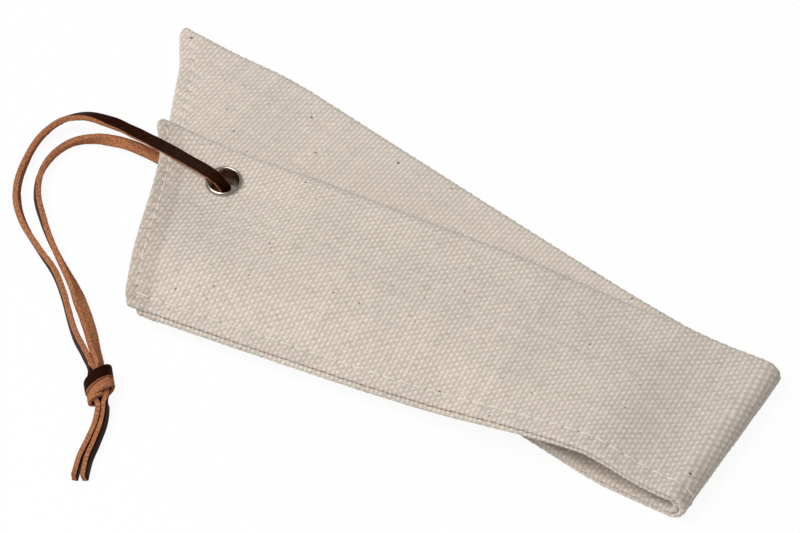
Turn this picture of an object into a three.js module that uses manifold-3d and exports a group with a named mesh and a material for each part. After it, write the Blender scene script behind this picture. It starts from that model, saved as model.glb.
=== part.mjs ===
// Canvas pouch for a kitchen knife: a flat sleeve of heavy cotton canvas, folded in half,
// with a leather lace through an eyelet beside its mouth.
// Millimetres, +Z up. X runs along the folded pouch to its fold, and the crease runs along Y.
// The tip half lies on the table and the mouth half is folded back over it.

import * as THREE from "three";
import ManifoldModule from "manifold-3d";

const RAD = Math.PI / 180;

// Plan of the sleeve. Lengths run along its folded long edge, widths square to it.
const MOUTH_LENGTH = 193;
const TIP_LENGTH = 210;
const CREASE_WIDTH = 54;
const MOUTH_WIDTH = 62;
const TIP_WIDTH = 54.5;
const MOUTH_SLANT = 20.5 * RAD;
const TIP_SLANT = 31 * RAD;
const FAN_ANGLE = 5.2 * RAD;

// Cloth, seams and hems
const CLOTH = 1.2;
const FLAT_GAP = 1.2;
const SEAM_WIDTH = 5.5;
const SEAM_THICK = 3.6;
const SEAM_SLOPE = 5;
const SEAM_SLIT = 0.5;
const HEM_DEPTH = 8;
const HEM_LAYER = 0.8;
const HEM_STEP = 1.2;
const MOUTH_GAP = 5;

// Fold
const LOOP_RADIUS = 5.4;
const BEND_REACH = 30;
const TOP_LEVEL = 14;
const JOIN_GAP = 0.3;

// Eyelet and its washer
const EYELET_FROM_MOUTH = 22.6;
const EYELET_FROM_EDGE = 12.3;
const EYELET_BORE = 8;
const EYELET_WALL = 0.45;
const EYELET_FLANGE = 12;
const EYELET_CROWN = 1.2;
const WASHER_WIDTH = 1.5;
const WASHER_THICK = 0.5;
const CURL_THICK = 0.4;
const CURL_WIDTH = 0.9;
const PINCH_GAP = 1;
const PINCH_INNER = 8;
const PINCH_OUTER = 32;

// Lace
const LACE_WIDTH = 3.2;
const LACE_THICK = 1.3;
const LACE_STEPS = 76;
const TAIL_STEPS = 8;
const KNOT_LENGTH = 12;
const KNOT_WIDTH = 8.4;
const KNOT_HEIGHT = 6.6;
const KNOT_WAIST = 0.84;

// The lace's route from the knot over the mouth to the eyelet, through it and back to the knot.
// Each row is x and y from the eyelet's axis, z above the table and the strap's turn in degrees.
const LACE_ROUTE = [
  [1.7, -69.5, 3.3, -80],
  [-2.6, -65.8, 2.8, -86],
  [-11.7, -59.1, 2.0, -95],
  [-20.1, -52.1, 1.75, -105],
  [-27.0, -47.4, 1.75, -105],
  [-34.6, -43.2, 1.75, -105],
  [-43.2, -38.2, 1.75, -105],
  [-49.8, -33.0, 1.75, -105],
  [-54.6, -27.0, 1.75, -100],
  [-57.8, -18.5, 1.9, -90],
  [-58.9, -9.4, 2.8, -72],
  [-56.4, -2.4, 4.9, -50],
  [-50.6, 1.6, 7.7, -30],
  [-40.6, 2.9, 11.9, -10],
  [-31.5, 2.8, 14.5, 0],
  [-22.5, 2.2, 14.9, 0],
  [-12.6, 1.2, 14.4, 0],
  [-6.0, 0.6, 13.8, 0],
  [-2.2, 0.2, 13.1, 0],
  [-1.0, 0.1, 9.0, 0],
  [-1.9, 0.2, 5.3, 0],
  [-5.4, 0.4, 4.6, 0],
  [-14.0, 0.9, 4.55, 0],
  [-23.5, 1.5, 4.5, 0],
  [-32.0, 1.6, 4.5, 0],
  [-39.6, 0.6, 3.6, -22],
  [-45.6, -1.4, 2.6, -48],
  [-50.0, -5.4, 2.0, -72],
  [-52.2, -12.0, 1.75, -90],
  [-51.2, -19.8, 1.75, -100],
  [-47.2, -27.2, 1.75, -105],
  [-41.2, -33.2, 1.75, -105],
  [-34.0, -38.9, 1.75, -105],
  [-26.0, -44.3, 1.75, -105],
  [-19.0, -48.8, 1.75, -105],
  [-12.6, -53.4, 1.8, -100],
  [-6.6, -58.6, 2.1, -92],
  [-0.8, -63.8, 2.8, -86],
  [3.7, -67.5, 3.3, -80],
];
const LEFT_TAIL_ROUTE = [
  [10.3, -78.8, 3.0, -70],
  [13.0, -84.4, 1.9, -100],
  [14.4, -90.4, 1.75, -105],
  [15.9, -96.2, 1.75, -100],
  [18.4, -101.9, 1.75, -95],
];
const RIGHT_TAIL_ROUTE = [
  [12.3, -77.2, 3.0, -70],
  [15.7, -82.4, 1.9, -80],
  [17.6, -88.6, 1.75, -80],
  [19.2, -94.6, 1.75, -80],
  [20.9, -100.2, 1.75, -80],
];
const KNOT_PLACE = [7.0, -73.3];
const KNOT_TURN = -47.8 * RAD;

const wasm = await ManifoldModule();
wasm.setup();

const FLAT_HALF = FLAT_GAP / 2;
const SEAM_HALF = SEAM_THICK / 2;
const TIP_LEVEL = FLAT_HALF + CLOTH;
const LOOP_TOP = TIP_LEVEL + 2 * LOOP_RADIUS;
const CREASE_EDGE_Y = CREASE_WIDTH / 2 / Math.cos(FAN_ANGLE);

function lerp(a, b, t) {
  return a + (b - a) * t;
}

function smooth(t) {
  const s = Math.min(1, Math.max(0, t));
  return s * s * (3 - 2 * s);
}

function material(color, roughness, metalness = 0) {
  return new THREE.MeshStandardMaterial({ color, roughness, metalness });
}

function namedMesh(name, geometry, look) {
  const mesh = new THREE.Mesh(geometry, look);
  mesh.name = name;
  return mesh;
}

function indexedGeometry(points, triangles) {
  let volume = 0;
  for (let k = 0; k < triangles.length; k += 3) {
    const [a, b, c] = [points[triangles[k]], points[triangles[k + 1]], points[triangles[k + 2]]];
    volume += a.dot(new THREE.Vector3().crossVectors(b, c));
  }
  const index = volume > 0 ? triangles : triangles.slice().reverse();
  const geometry = new THREE.BufferGeometry();
  geometry.setAttribute("position", new THREE.Float32BufferAttribute(points.flatMap((p) => p.toArray()), 3));
  geometry.setIndex(index);
  return geometry;
}

// Triangles between two rings of as many points, listed from first and from second.
function wallTriangles(first, second, count) {
  const triangles = [];
  for (let j = 0; j < count; j += 1) {
    const next = (j + 1) % count;
    triangles.push(first + j, first + next, second + next);
    triangles.push(first + j, second + next, second + j);
  }
  return triangles;
}

// A flat end on a ring whose outline has no point in line with its neighbours.
function endTriangles(ring, start, facing) {
  const corners = ring.map((p) => new THREE.Vector2(p.q, p.z));
  const faces = THREE.ShapeUtils.triangulateShape(corners, []);
  return faces.flatMap(([a, b, c]) => {
    const area = THREE.ShapeUtils.area([corners[a], corners[b], corners[c]]);
    return area * facing > 0 ? [start + a, start + b, start + c] : [start + a, start + c, start + b];
  });
}

// A flat end on a ring that is the same on both sides of its middle plane, in rungs across it.
// The ring's point at the folded edge is where the rungs begin.
function rungTriangles(start, count, first, facing) {
  const id = (k) => start + ((first + k + count) % count);
  const triangles = [];
  for (let k = 0; 2 * k + 1 < count; k += 1) {
    const [a, b, c, d] = [id(k), id(k + 1), id(-k - 1), id(-k)];
    const rung = k === 0 ? [a, b, c] : [a, b, c, a, c, d];
    triangles.push(...(2 * k + 2 === count ? [a, b, d] : rung));
  }
  return facing > 0 ? triangles : triangles.reverse();
}

// The cut end of the cloth, between its outline and the cavity's.
function rimTriangles(ringStart, ringCount, holeStart, facing) {
  const triangles = [];
  for (let j = 0; j < ringCount; j += 1) {
    const next = (j + 1) % ringCount;
    const [a, b] = [ringStart + j, ringStart + next];
    const [c, d] = [holeStart + cavityMate(j), holeStart + cavityMate(next)];
    triangles.push(a, b, c);
    if (c !== d) {
      triangles.push(b, d, c);
    }
  }
  return facing > 0 ? triangles : triangles.reverse();
}

// A cloth tube lofted through rings. The cavity may stop short of the last ring and close there.
function clothTube(outer, inner) {
  const points = outer.concat(inner).flatMap((ring) => ring.map((p) => p.at));
  const outerCount = outer[0].length;
  const innerCount = inner[0].length;
  const outerStart = (i) => i * outerCount;
  const innerStart = (i) => outer.length * outerCount + i * innerCount;
  const triangles = [];
  for (let i = 0; i + 1 < outer.length; i += 1) {
    triangles.push(...wallTriangles(outerStart(i), outerStart(i + 1), outerCount));
  }
  for (let i = 0; i + 1 < inner.length; i += 1) {
    triangles.push(...wallTriangles(innerStart(i + 1), innerStart(i), innerCount));
  }
  const lastOuter = outerStart(outer.length - 1);
  const lastInner = innerStart(inner.length - 1);
  triangles.push(...rimTriangles(outerStart(0), outerCount, innerStart(0), -1));
  if (inner.length === outer.length) {
    triangles.push(...rimTriangles(lastOuter, outerCount, lastInner, 1));
  } else {
    triangles.push(...rungTriangles(lastOuter, outerCount, EDGE_STEPS / 2, 1));
    triangles.push(...rungTriangles(lastInner, innerCount, EDGE_STEPS / 2, -1));
  }
  return indexedGeometry(points, triangles);
}

// Where the flat layers get their points, from the folded edge across to the seam.
const FLAT_STOPS = [6, 9, EYELET_FROM_EDGE, 15, 19, 24, 30];
const EDGE_STEPS = 6;

function flatStops(width) {
  const last = width - SEAM_WIDTH - SEAM_SLOPE;
  return FLAT_STOPS.concat([lerp(FLAT_STOPS.at(-1), last, 0.5), last]);
}

function foldedEdge(centre, radius) {
  return Array.from({ length: EDGE_STEPS + 1 }, (_, k) => {
    const turn = (90 + (180 * k) / EDGE_STEPS) * RAD;
    return { q: centre + radius * Math.cos(turn), z: radius * Math.sin(turn) };
  });
}

function mirrored(points) {
  return points.map((p) => ({ q: p.q, z: -p.z })).reverse();
}

// Outline of the sleeve across its length: a folded edge at q = 0, two layers, and a sewn edge
// where both layers are turned in and meet in a groove. half(q) is the cavity's half height.
function outerOutline(width, half, groove = 1) {
  const radius = half(0) + CLOTH;
  const lower = flatStops(width).map((q) => ({ q, z: -half(q) - CLOTH }));
  const roll = SEAM_HALF;
  const sewnEdge = [
    { q: width - SEAM_WIDTH, z: -roll },
    { q: width - 0.5 * roll, z: -roll },
    { q: width - 0.12 * roll, z: -0.85 * roll },
    { q: width, z: -0.5 * roll },
    { q: width - 0.12 * groove * roll, z: -0.15 * roll },
  ];
  const underside = lower.concat(sewnEdge);
  const middle = { q: width - 0.45 * groove * roll, z: 0 };
  return foldedEdge(radius, radius).concat(underside, [middle], mirrored(underside));
}

function cavityOutline(width, half, lining) {
  const radius = half(0) + CLOTH;
  const lower = flatStops(width).map((q) => ({ q, z: -half(q) + lining }));
  lower.push({ q: width - SEAM_WIDTH - 0.5, z: -SEAM_SLIT / 2 });
  return foldedEdge(radius, half(0) - lining).concat(lower, mirrored(lower));
}

// The cavity's point that faces each point of the outline. The sewn edge faces the cavity's slit.
function cavityMate(j) {
  const slit = EDGE_STEPS + 1 + FLAT_STOPS.length + 2;
  const sewn = 5;
  if (j < slit) {
    return j;
  }
  if (j <= slit + sewn) {
    return slit;
  }
  return j <= slit + 2 * sewn ? slit + 1 : j - 2 * sewn + 1;
}

function placeRing(outline, place) {
  return outline.map((p) => ({ ...p, at: place(p.q, p.z) }));
}

// Distance along the folded edge from the crease to a half's inner end and to its outer end.
function startReach(q, fan) {
  return (BEND_REACH + JOIN_GAP + q * Math.sin(fan)) / Math.cos(fan);
}

function endReach(q, length, slant) {
  return length - q * Math.tan(slant);
}

const canvasLook = material(0xd8cdba, 0.95);
const eyeletLook = material(0xb9b4aa, 0.28, 1);
const laceLook = material(0x5d3524, 0.62);

// Tip half: both layers flat together, closed across its slanted end.
function tipHalf() {
  const half = () => FLAT_HALF;
  const shares = [0, 0.33, 0.66, 1];
  const reach = (q, share, short) => {
    const end = endReach(q, TIP_LENGTH, TIP_SLANT) - short;
    return lerp(startReach(q, -FAN_ANGLE), end, share);
  };
  const ring = (outline, share, short) =>
    placeRing(outline, (q, z) => new THREE.Vector3(-reach(q, share, short), -q, TIP_LEVEL + z));
  const width = (share) => lerp(CREASE_WIDTH, TIP_WIDTH, share);
  const outer = shares.map((s) => ring(outerOutline(width(s), half, s < 1 ? 1 : -0.3), s, 0));
  const inner = shares.slice(0, 3).map((s) => ring(cavityOutline(width(s), half, 0), s, SEAM_WIDTH));
  return clothTube(outer, inner);
}

// Mouth half: it swells from the fold to an open, hemmed mouth, and the eyelet pinches it.
const MOUTH_STOPS = [0, HEM_DEPTH, HEM_DEPTH + HEM_STEP, 13, 18, EYELET_FROM_MOUTH, 27, 32, 38];
const MOUTH_SHARES = [0.8, 0.6, 0.4, 0.2, 0];
const MOUTH_HALF = MOUTH_GAP / 2 + HEM_LAYER;
const EYELET_P = endReach(EYELET_FROM_EDGE, MOUTH_LENGTH, MOUTH_SLANT) - EYELET_FROM_MOUTH;

function swell(share) {
  return lerp(FLAT_HALF, MOUTH_HALF, Math.sin((share * Math.PI) / 2));
}

function pinched(half, p, q) {
  const distance = Math.hypot(p - EYELET_P, q - EYELET_FROM_EDGE);
  return lerp(PINCH_GAP / 2, half, smooth((distance - PINCH_INNER) / (PINCH_OUTER - PINCH_INNER)));
}

function mouthStation(reach, share, lining) {
  const base = swell(share);
  const level = TOP_LEVEL - base - CLOTH;
  const width = lerp(CREASE_WIDTH, MOUTH_WIDTH, share);
  const half = (q) => pinched(base, reach(q), q);
  const place = (q, z) => new THREE.Vector3(-reach(q), -q, level + z);
  return {
    level,
    outer: placeRing(outerOutline(width, half), place),
    inner: placeRing(cavityOutline(width, half, lining), place),
  };
}

function mouthStations() {
  const end = (q) => endReach(q, MOUTH_LENGTH, MOUTH_SLANT);
  const span = end(0) - startReach(0, FAN_ANGLE);
  const deepest = MOUTH_STOPS.at(-1);
  const nearMouth = MOUTH_STOPS.map((depth) => {
    const lining = depth <= HEM_DEPTH ? HEM_LAYER : 0;
    return mouthStation((q) => end(q) - depth, 1 - depth / span, lining);
  });
  const nearFold = MOUTH_SHARES.map((part) => {
    const reach = (q) => lerp(startReach(q, FAN_ANGLE), end(q) - deepest, part);
    return mouthStation(reach, part * (1 - deepest / span), 0);
  });
  return nearMouth.concat(nearFold).reverse();
}

function solidFrom(geometry) {
  const vertProperties = new Float32Array(geometry.getAttribute("position").array);
  const triVerts = new Uint32Array(geometry.getIndex().array);
  return new wasm.Manifold(new wasm.Mesh({ numProp: 3, vertProperties, triVerts }));
}

function geometryFrom(solid) {
  const mesh = solid.getMesh();
  const geometry = new THREE.BufferGeometry();
  geometry.setAttribute("position", new THREE.BufferAttribute(mesh.vertProperties, 3));
  geometry.setIndex(new THREE.BufferAttribute(mesh.triVerts, 1));
  return geometry;
}

const EYELET_SIDES = 28;
const EYELET_LEVEL = mouthStation(() => EYELET_P, 1 - EYELET_FROM_MOUTH / (MOUTH_LENGTH - BEND_REACH), 0).level;
const EYELET_TOP = EYELET_LEVEL + PINCH_GAP / 2 + CLOTH;
const EYELET_UNDER = EYELET_LEVEL - PINCH_GAP / 2 - CLOTH;
const BARREL_RADIUS = EYELET_BORE / 2 + EYELET_WALL;

// A closed round wall, as a column, for cutting the eyelet's hole in both layers.
function column(radius, low, high) {
  const turn = (k) => (2 * Math.PI * k) / EYELET_SIDES;
  const circle = (z) =>
    Array.from({ length: EYELET_SIDES }, (_, k) => {
      const [q, s] = [radius * Math.cos(turn(k)), radius * Math.sin(turn(k))];
      return { q, z: s, at: new THREE.Vector3(q - EYELET_P, s - EYELET_FROM_EDGE, z) };
    });
  const [foot, head] = [circle(low), circle(high)];
  const triangles = wallTriangles(0, EYELET_SIDES, EYELET_SIDES).concat(
    endTriangles(foot, 0, -1),
    endTriangles(head, EYELET_SIDES, 1),
  );
  return indexedGeometry(foot.concat(head).map((p) => p.at), triangles);
}

function mouthHalf() {
  const stations = mouthStations();
  const sleeve = clothTube(
    stations.map((s) => s.outer),
    stations.map((s) => s.inner),
  );
  const hole = column(BARREL_RADIUS + JOIN_GAP, 0, 2 * TOP_LEVEL);
  return geometryFrom(solidFrom(sleeve).subtract(solidFrom(hole)));
}

// The bend: the sleeve runs along the table, round the loop and back under the mouth half.
function bendPath() {
  const centreX = -(LOOP_RADIUS + TIP_LEVEL);
  const centreZ = TIP_LEVEL + LOOP_RADIUS;
  const mouthLevel = TOP_LEVEL - FLAT_HALF - CLOTH;
  const path = [-BEND_REACH, (centreX - BEND_REACH) / 2].map((x) => ({ x, z: TIP_LEVEL, turn: 0, side: 1 }));
  for (let k = 0; k <= 8; k += 1) {
    const turn = (k * Math.PI) / 8;
    const x = centreX + LOOP_RADIUS * Math.sin(turn);
    path.push({ x, z: centreZ - LOOP_RADIUS * Math.cos(turn), turn, side: Math.cos(turn) });
  }
  for (const part of [0.3, 0.6, 1]) {
    const x = lerp(centreX, -BEND_REACH, part);
    const z = lerp(LOOP_TOP, mouthLevel, smooth(part));
    const slope = (6 * part * (1 - part) * (LOOP_TOP - mouthLevel)) / (BEND_REACH + centreX);
    path.push({ x, z, turn: Math.PI + Math.atan(slope), side: -1 });
  }
  return path;
}

function bend() {
  const half = () => FLAT_HALF;
  const rings = (outline) =>
    bendPath().map((stop) => {
      const edgeY = CREASE_EDGE_Y - stop.side * stop.x * Math.tan(FAN_ANGLE);
      const place = (q, z) => {
        const x = stop.x - z * Math.sin(stop.turn);
        return new THREE.Vector3(x, edgeY - q / Math.cos(FAN_ANGLE), stop.z + z * Math.cos(stop.turn));
      };
      return placeRing(outline, place);
    });
  return clothTube(rings(outerOutline(CREASE_WIDTH, half)), rings(cavityOutline(CREASE_WIDTH, half, 0)));
}

function turned(profile) {
  const loop = profile.concat([profile[0]]).map(([r, z]) => new THREE.Vector2(r, z)).reverse();
  return new THREE.LatheGeometry(loop, EYELET_SIDES).rotateX(Math.PI / 2);
}

// Eyelet: a crowned flange on top, a barrel through both layers, and its end curled under the washer.
const WASHER_TOP = EYELET_UNDER - JOIN_GAP;
const CURL_TOP = WASHER_TOP - WASHER_THICK - JOIN_GAP;

function eyelet() {
  const bore = EYELET_BORE / 2;
  const rim = EYELET_FLANGE / 2;
  const seat = EYELET_TOP + JOIN_GAP;
  const crest = lerp(bore, rim, 0.5);
  const curlFoot = CURL_TOP - CURL_THICK;
  return turned([
    [bore, curlFoot + 0.5 * CURL_THICK],
    [bore, seat + 0.45 * EYELET_CROWN],
    [lerp(bore, crest, 0.35), seat + 0.8 * EYELET_CROWN],
    [crest, seat + EYELET_CROWN],
    [lerp(crest, rim, 0.6), seat + 0.75 * EYELET_CROWN],
    [rim, seat + 0.25 * EYELET_CROWN],
    [rim - 0.15 * EYELET_CROWN, seat],
    [BARREL_RADIUS, seat],
    [BARREL_RADIUS, CURL_TOP],
    [BARREL_RADIUS + CURL_WIDTH, CURL_TOP],
    [BARREL_RADIUS + CURL_WIDTH, CURL_TOP - 0.6 * CURL_THICK],
    [BARREL_RADIUS + 0.4 * CURL_WIDTH, curlFoot],
    [bore + 0.4 * EYELET_WALL, curlFoot],
  ]);
}

function washer() {
  const inside = BARREL_RADIUS + JOIN_GAP;
  const low = WASHER_TOP - WASHER_THICK;
  const round = 0.3 * WASHER_THICK;
  return turned([
    [inside, WASHER_TOP],
    [inside + WASHER_WIDTH - round, WASHER_TOP],
    [inside + WASHER_WIDTH, WASHER_TOP - round],
    [inside + WASHER_WIDTH, low + round],
    [inside + WASHER_WIDTH - round, low],
    [inside, low],
  ]);
}

// The lace's section: a flat strap with eased corners, across its width and its thickness.
function strapSection() {
  const [w, t] = [LACE_WIDTH / 2, LACE_THICK / 2];
  const ease = 0.45 * t;
  return [
    [w - ease, -t],
    [w, -t + ease],
    [w, t - ease],
    [w - ease, t],
    [-w + ease, t],
    [-w, t - ease],
    [-w, -t + ease],
    [-w + ease, -t],
  ];
}

// A strap along a route. From the step where its face is known, the face is carried both ways along
// the route without turning about it, and then takes the twist.
function strap(route, steps, knownStep, knownFace) {
  const places = route.map(([x, y, z]) => new THREE.Vector3(x, y, z));
  const curve = new THREE.CatmullRomCurve3(places, false, "centripetal");
  const tangents = Array.from({ length: steps + 1 }, (_, k) => curve.getTangent(k / steps));
  const faces = [];
  const square = (face, along) => face.clone().addScaledVector(along, -face.dot(along)).normalize();
  faces[knownStep] = square(knownFace, tangents[knownStep]);
  for (let k = knownStep + 1; k <= steps; k += 1) {
    faces[k] = square(faces[k - 1], tangents[k]);
  }
  for (let k = knownStep - 1; k >= 0; k -= 1) {
    faces[k] = square(faces[k + 1], tangents[k]);
  }
  const section = strapSection();
  const rings = faces.map((face, k) => {
    const at = (k / steps) * (route.length - 1);
    const leg = Math.min(Math.floor(at), route.length - 2);
    const twist = lerp(route[leg][3], route[leg + 1][3], at - leg) * RAD;
    const centre = curve.getPoint(k / steps);
    const out = face.clone().applyAxisAngle(tangents[k], twist);
    const side = new THREE.Vector3().crossVectors(tangents[k], out);
    const place = (q, z) => centre.clone().addScaledVector(side, q).addScaledVector(out, z);
    return section.map(([q, z]) => ({ q, z, at: place(q, z) }));
  });
  const count = section.length;
  const triangles = [];
  for (let i = 0; i < steps; i += 1) {
    triangles.push(...wallTriangles(i * count, (i + 1) * count, count));
  }
  triangles.push(...endTriangles(rings[0], 0, -1));
  triangles.push(...endTriangles(rings[steps], steps * count, 1));
  return indexedGeometry(rings.flatMap((ring) => ring.map((p) => p.at)), triangles);
}

// Overhand knot: a round bundle with a waist between its two wraps, flattened by lying on the table.
function knot() {
  const [r, l] = [KNOT_WIDTH / 2, KNOT_LENGTH / 2];
  const profile = [
    [0, -l],
    [0.7 * r, -l],
    [r, -0.6 * l],
    [0.96 * r, -0.3 * l],
    [KNOT_WAIST * r, 0],
    [0.96 * r, 0.3 * l],
    [r, 0.6 * l],
    [0.7 * r, l],
    [0, l],
  ].map(([x, y]) => new THREE.Vector2(x, y));
  const geometry = new THREE.LatheGeometry(profile, 16).rotateZ(-Math.PI / 2);
  return geometry.scale(1, 1, KNOT_HEIGHT / KNOT_WIDTH);
}

const pouch = new THREE.Group();

const tipGroup = new THREE.Group();
tipGroup.position.y = CREASE_EDGE_Y;
tipGroup.rotation.z = -FAN_ANGLE;
tipGroup.add(namedMesh("canvas_tip_half", tipHalf(), canvasLook.clone()));

const mouthGroup = new THREE.Group();
mouthGroup.position.y = CREASE_EDGE_Y;
mouthGroup.rotation.z = FAN_ANGLE;
mouthGroup.add(namedMesh("canvas_mouth_half", mouthHalf(), canvasLook.clone()));

const eyeletGroup = new THREE.Group();
eyeletGroup.position.set(-EYELET_P, -EYELET_FROM_EDGE, 0);
eyeletGroup.add(namedMesh("eyelet", eyelet(), eyeletLook.clone()));
eyeletGroup.add(namedMesh("eyelet_washer", washer(), eyeletLook.clone()));
mouthGroup.add(eyeletGroup);

pouch.add(tipGroup, mouthGroup, namedMesh("canvas_bend", bend(), canvasLook.clone()));
pouch.updateMatrixWorld(true);

// The lace's points are along X and Y, so its group takes the eyelet's place but not its turn.
const clothBox = new THREE.Box3().setFromObject(pouch, true);
const laceGroup = new THREE.Group();
laceGroup.position.setFromMatrixPosition(eyeletGroup.matrixWorld);
const up = new THREE.Vector3(0, 0, 1);
const awayFromMouth = new THREE.Vector3(1, 0, 0);
const loop = strap(LACE_ROUTE, LACE_STEPS, LACE_STEPS / 2, awayFromMouth);
laceGroup.add(namedMesh("lace_loop", loop, laceLook.clone()));
laceGroup.add(namedMesh("lace_left_tail", strap(LEFT_TAIL_ROUTE, TAIL_STEPS, 0, up), laceLook.clone()));
laceGroup.add(namedMesh("lace_right_tail", strap(RIGHT_TAIL_ROUTE, TAIL_STEPS, 0, up), laceLook.clone()));
const knotMesh = namedMesh("lace_knot", knot(), laceLook.clone());
knotMesh.position.set(KNOT_PLACE[0], KNOT_PLACE[1], KNOT_HEIGHT / 2 + 0.1);
knotMesh.rotation.z = KNOT_TURN;
laceGroup.add(knotMesh);
pouch.add(laceGroup);

// The origin lies under the middle of the cloth's box, on the table.
const middle = clothBox.getCenter(new THREE.Vector3());
pouch.position.set(-middle.x, -middle.y, -clothBox.min.z);

export default pouch;
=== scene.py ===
# %% [markdown]
# # A canvas knife pouch with a leather lace
# The pouch is a flat sleeve of heavy undyed cotton, folded in half, so that the half with the open
# mouth lies on the half with the closed tip. A metal eyelet beside the mouth carries a doubled
# leather lace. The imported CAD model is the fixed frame, and each soft solid in it is replaced here
# by a finer mesh in the same place. All lengths in the code are millimetres until a mesh is made,
# and the meshes are in metres.

import math

import bpy
import numpy as np
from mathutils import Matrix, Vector


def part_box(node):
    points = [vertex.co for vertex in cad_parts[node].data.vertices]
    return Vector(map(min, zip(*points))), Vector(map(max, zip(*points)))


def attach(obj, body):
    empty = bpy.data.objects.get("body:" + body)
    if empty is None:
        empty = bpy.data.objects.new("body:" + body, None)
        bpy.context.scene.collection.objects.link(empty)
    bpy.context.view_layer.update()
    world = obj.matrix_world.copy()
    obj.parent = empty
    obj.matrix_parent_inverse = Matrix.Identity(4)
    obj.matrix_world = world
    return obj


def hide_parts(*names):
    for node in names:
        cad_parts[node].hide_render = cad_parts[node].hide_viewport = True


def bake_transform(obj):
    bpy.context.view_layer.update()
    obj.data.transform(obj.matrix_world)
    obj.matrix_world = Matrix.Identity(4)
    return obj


MM = 0.001
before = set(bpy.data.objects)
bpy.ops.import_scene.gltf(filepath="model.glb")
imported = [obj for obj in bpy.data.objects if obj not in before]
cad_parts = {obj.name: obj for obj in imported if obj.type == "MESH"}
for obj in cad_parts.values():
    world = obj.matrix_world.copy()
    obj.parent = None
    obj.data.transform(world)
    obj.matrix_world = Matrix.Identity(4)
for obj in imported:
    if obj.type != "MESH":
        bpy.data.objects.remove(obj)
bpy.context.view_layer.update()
print("CAD nodes:", sorted(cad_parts))

# %% [markdown]
# ## The camera
# The photograph was taken from in front and above, with a long lens, so lines that are parallel on
# the pouch stay nearly parallel in the picture. The direction, the height and the focal length
# were fitted to the pouch's corners, and the camera stands 850 mm away.

# %% Camera
CAMERA_TARGET = Vector((-0.00443, 0.00894, 0.0))
CAMERA_DIRECTION = Vector((0.3158, -0.5123, 0.7986))
CAMERA_DISTANCE = 0.850
CAMERA_LENS = 133.9


def add_object(name, data):
    thing = bpy.data.objects.new(name, data)
    bpy.context.scene.collection.objects.link(thing)
    return thing


camera_data = bpy.data.cameras.new("camera")
camera_data.sensor_width = 36
camera_data.lens = CAMERA_LENS
camera_data.clip_start = 0.01
camera = add_object("camera", camera_data)
camera.location = CAMERA_TARGET + CAMERA_DIRECTION.normalized() * CAMERA_DISTANCE
camera.rotation_euler = (-CAMERA_DIRECTION).to_track_quat("-Z", "Y").to_euler()
bpy.context.scene.camera = camera
print("camera at", [round(c, 4) for c in camera.location])

# %% [markdown]
# ## Meshes from grids of points
# Cloth and straps are both surfaces over a grid: one direction runs along the piece, the other
# across it. Modifiers could thicken plain sheets, but a grid keeps the true length along and
# across every yarn, which the weave needs. Points that fall together at a trimmed edge are merged,
# and triangles that lose their area there, or then lie back to back, are dropped.

# %% Helpers for meshes
MERGE_STEPS = 2000  # points within one of these steps of a millimetre are merged


def mesh_piece(name, points, triangles, uv=None, values=None):
    mesh = bpy.data.meshes.new(name)
    mesh.vertices.add(len(points))
    mesh.vertices.foreach_set("co", (points * MM).astype(np.float32).ravel())
    mesh.loops.add(triangles.size)
    mesh.loops.foreach_set("vertex_index", triangles.astype(np.int32).ravel())
    mesh.polygons.add(len(triangles))
    mesh.polygons.foreach_set("loop_start", np.arange(0, triangles.size, 3, dtype=np.int32))
    mesh.update(calc_edges=True)
    if uv is not None:
        layer = mesh.uv_layers.new(name="cloth")
        layer.data.foreach_set("uv", uv[triangles.ravel()].astype(np.float32).ravel())
    for key, numbers in (values or {}).items():
        attribute = mesh.attributes.new(key, "FLOAT", "POINT")
        attribute.data.foreach_set("value", numbers.astype(np.float32))
    mesh.shade_smooth()
    if values and "rim" in values:
        ends = np.empty(2 * len(mesh.edges), np.int32)
        mesh.edges.foreach_get("vertices", ends)
        sharp = (values["rim"][ends.reshape(-1, 2)] > 0.5).all(1)
        mesh.attributes.new("sharp_edge", "BOOLEAN", "EDGE").data.foreach_set("value", sharp)
    return add_object(name, mesh)


def grid_triangles(columns, rows):
    index = np.arange(columns * rows).reshape(columns, rows)
    a, b = index[:-1, :-1], index[1:, :-1]
    c, d = index[1:, 1:], index[:-1, 1:]
    turn = (np.add.outer(np.arange(columns - 1), np.arange(rows - 1)) % 2) == 0
    first = np.where(turn[..., None], np.stack([a, b, c], -1), np.stack([a, b, d], -1))
    second = np.where(turn[..., None], np.stack([a, c, d], -1), np.stack([b, c, d], -1))
    return np.concatenate([first.reshape(-1, 3), second.reshape(-1, 3)])


def merged(points, triangles, *others):
    keys = np.round(points * MERGE_STEPS).astype(np.int64)
    _, kept, where = np.unique(keys, axis=0, return_index=True, return_inverse=True)
    triangles = where.ravel()[triangles]
    a, b, c = triangles.T
    triangles = triangles[(a != b) & (b != c) & (c != a)]
    a, b, c = triangles.T
    winding = np.sign((b - a) * (c - b) * (a - c))
    _, first, group = np.unique(np.sort(triangles, 1), axis=0, return_index=True,
                                return_inverse=True)
    net = np.bincount(group.ravel(), weights=winding)
    triangles = triangles[np.sort(first[net != 0])]
    return points[kept], triangles, [other[kept] for other in others]


def facing_out(points, triangles):
    """The triangles of a closed shell, turned round if they face into it."""
    a, b, c = (points[triangles[:, k]] for k in range(3))
    return triangles[:, ::-1] if (a * np.cross(b, c)).sum() < 0 else triangles


def unit(vectors):
    return vectors / np.linalg.norm(vectors, axis=1)[:, None]


def square_to(along, vectors):
    """The vectors' directions, without the part that runs along the line."""
    return unit(vectors - along * (vectors * along).sum(1)[:, None])


def smoothstep(x):
    x = np.clip(x, 0, 1)
    return x * x * (3 - 2 * x)


def ramp(x, start, run):
    return smoothstep((x - start) / run)


def lerp(a, b, t):
    return a + (b - a) * t


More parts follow.
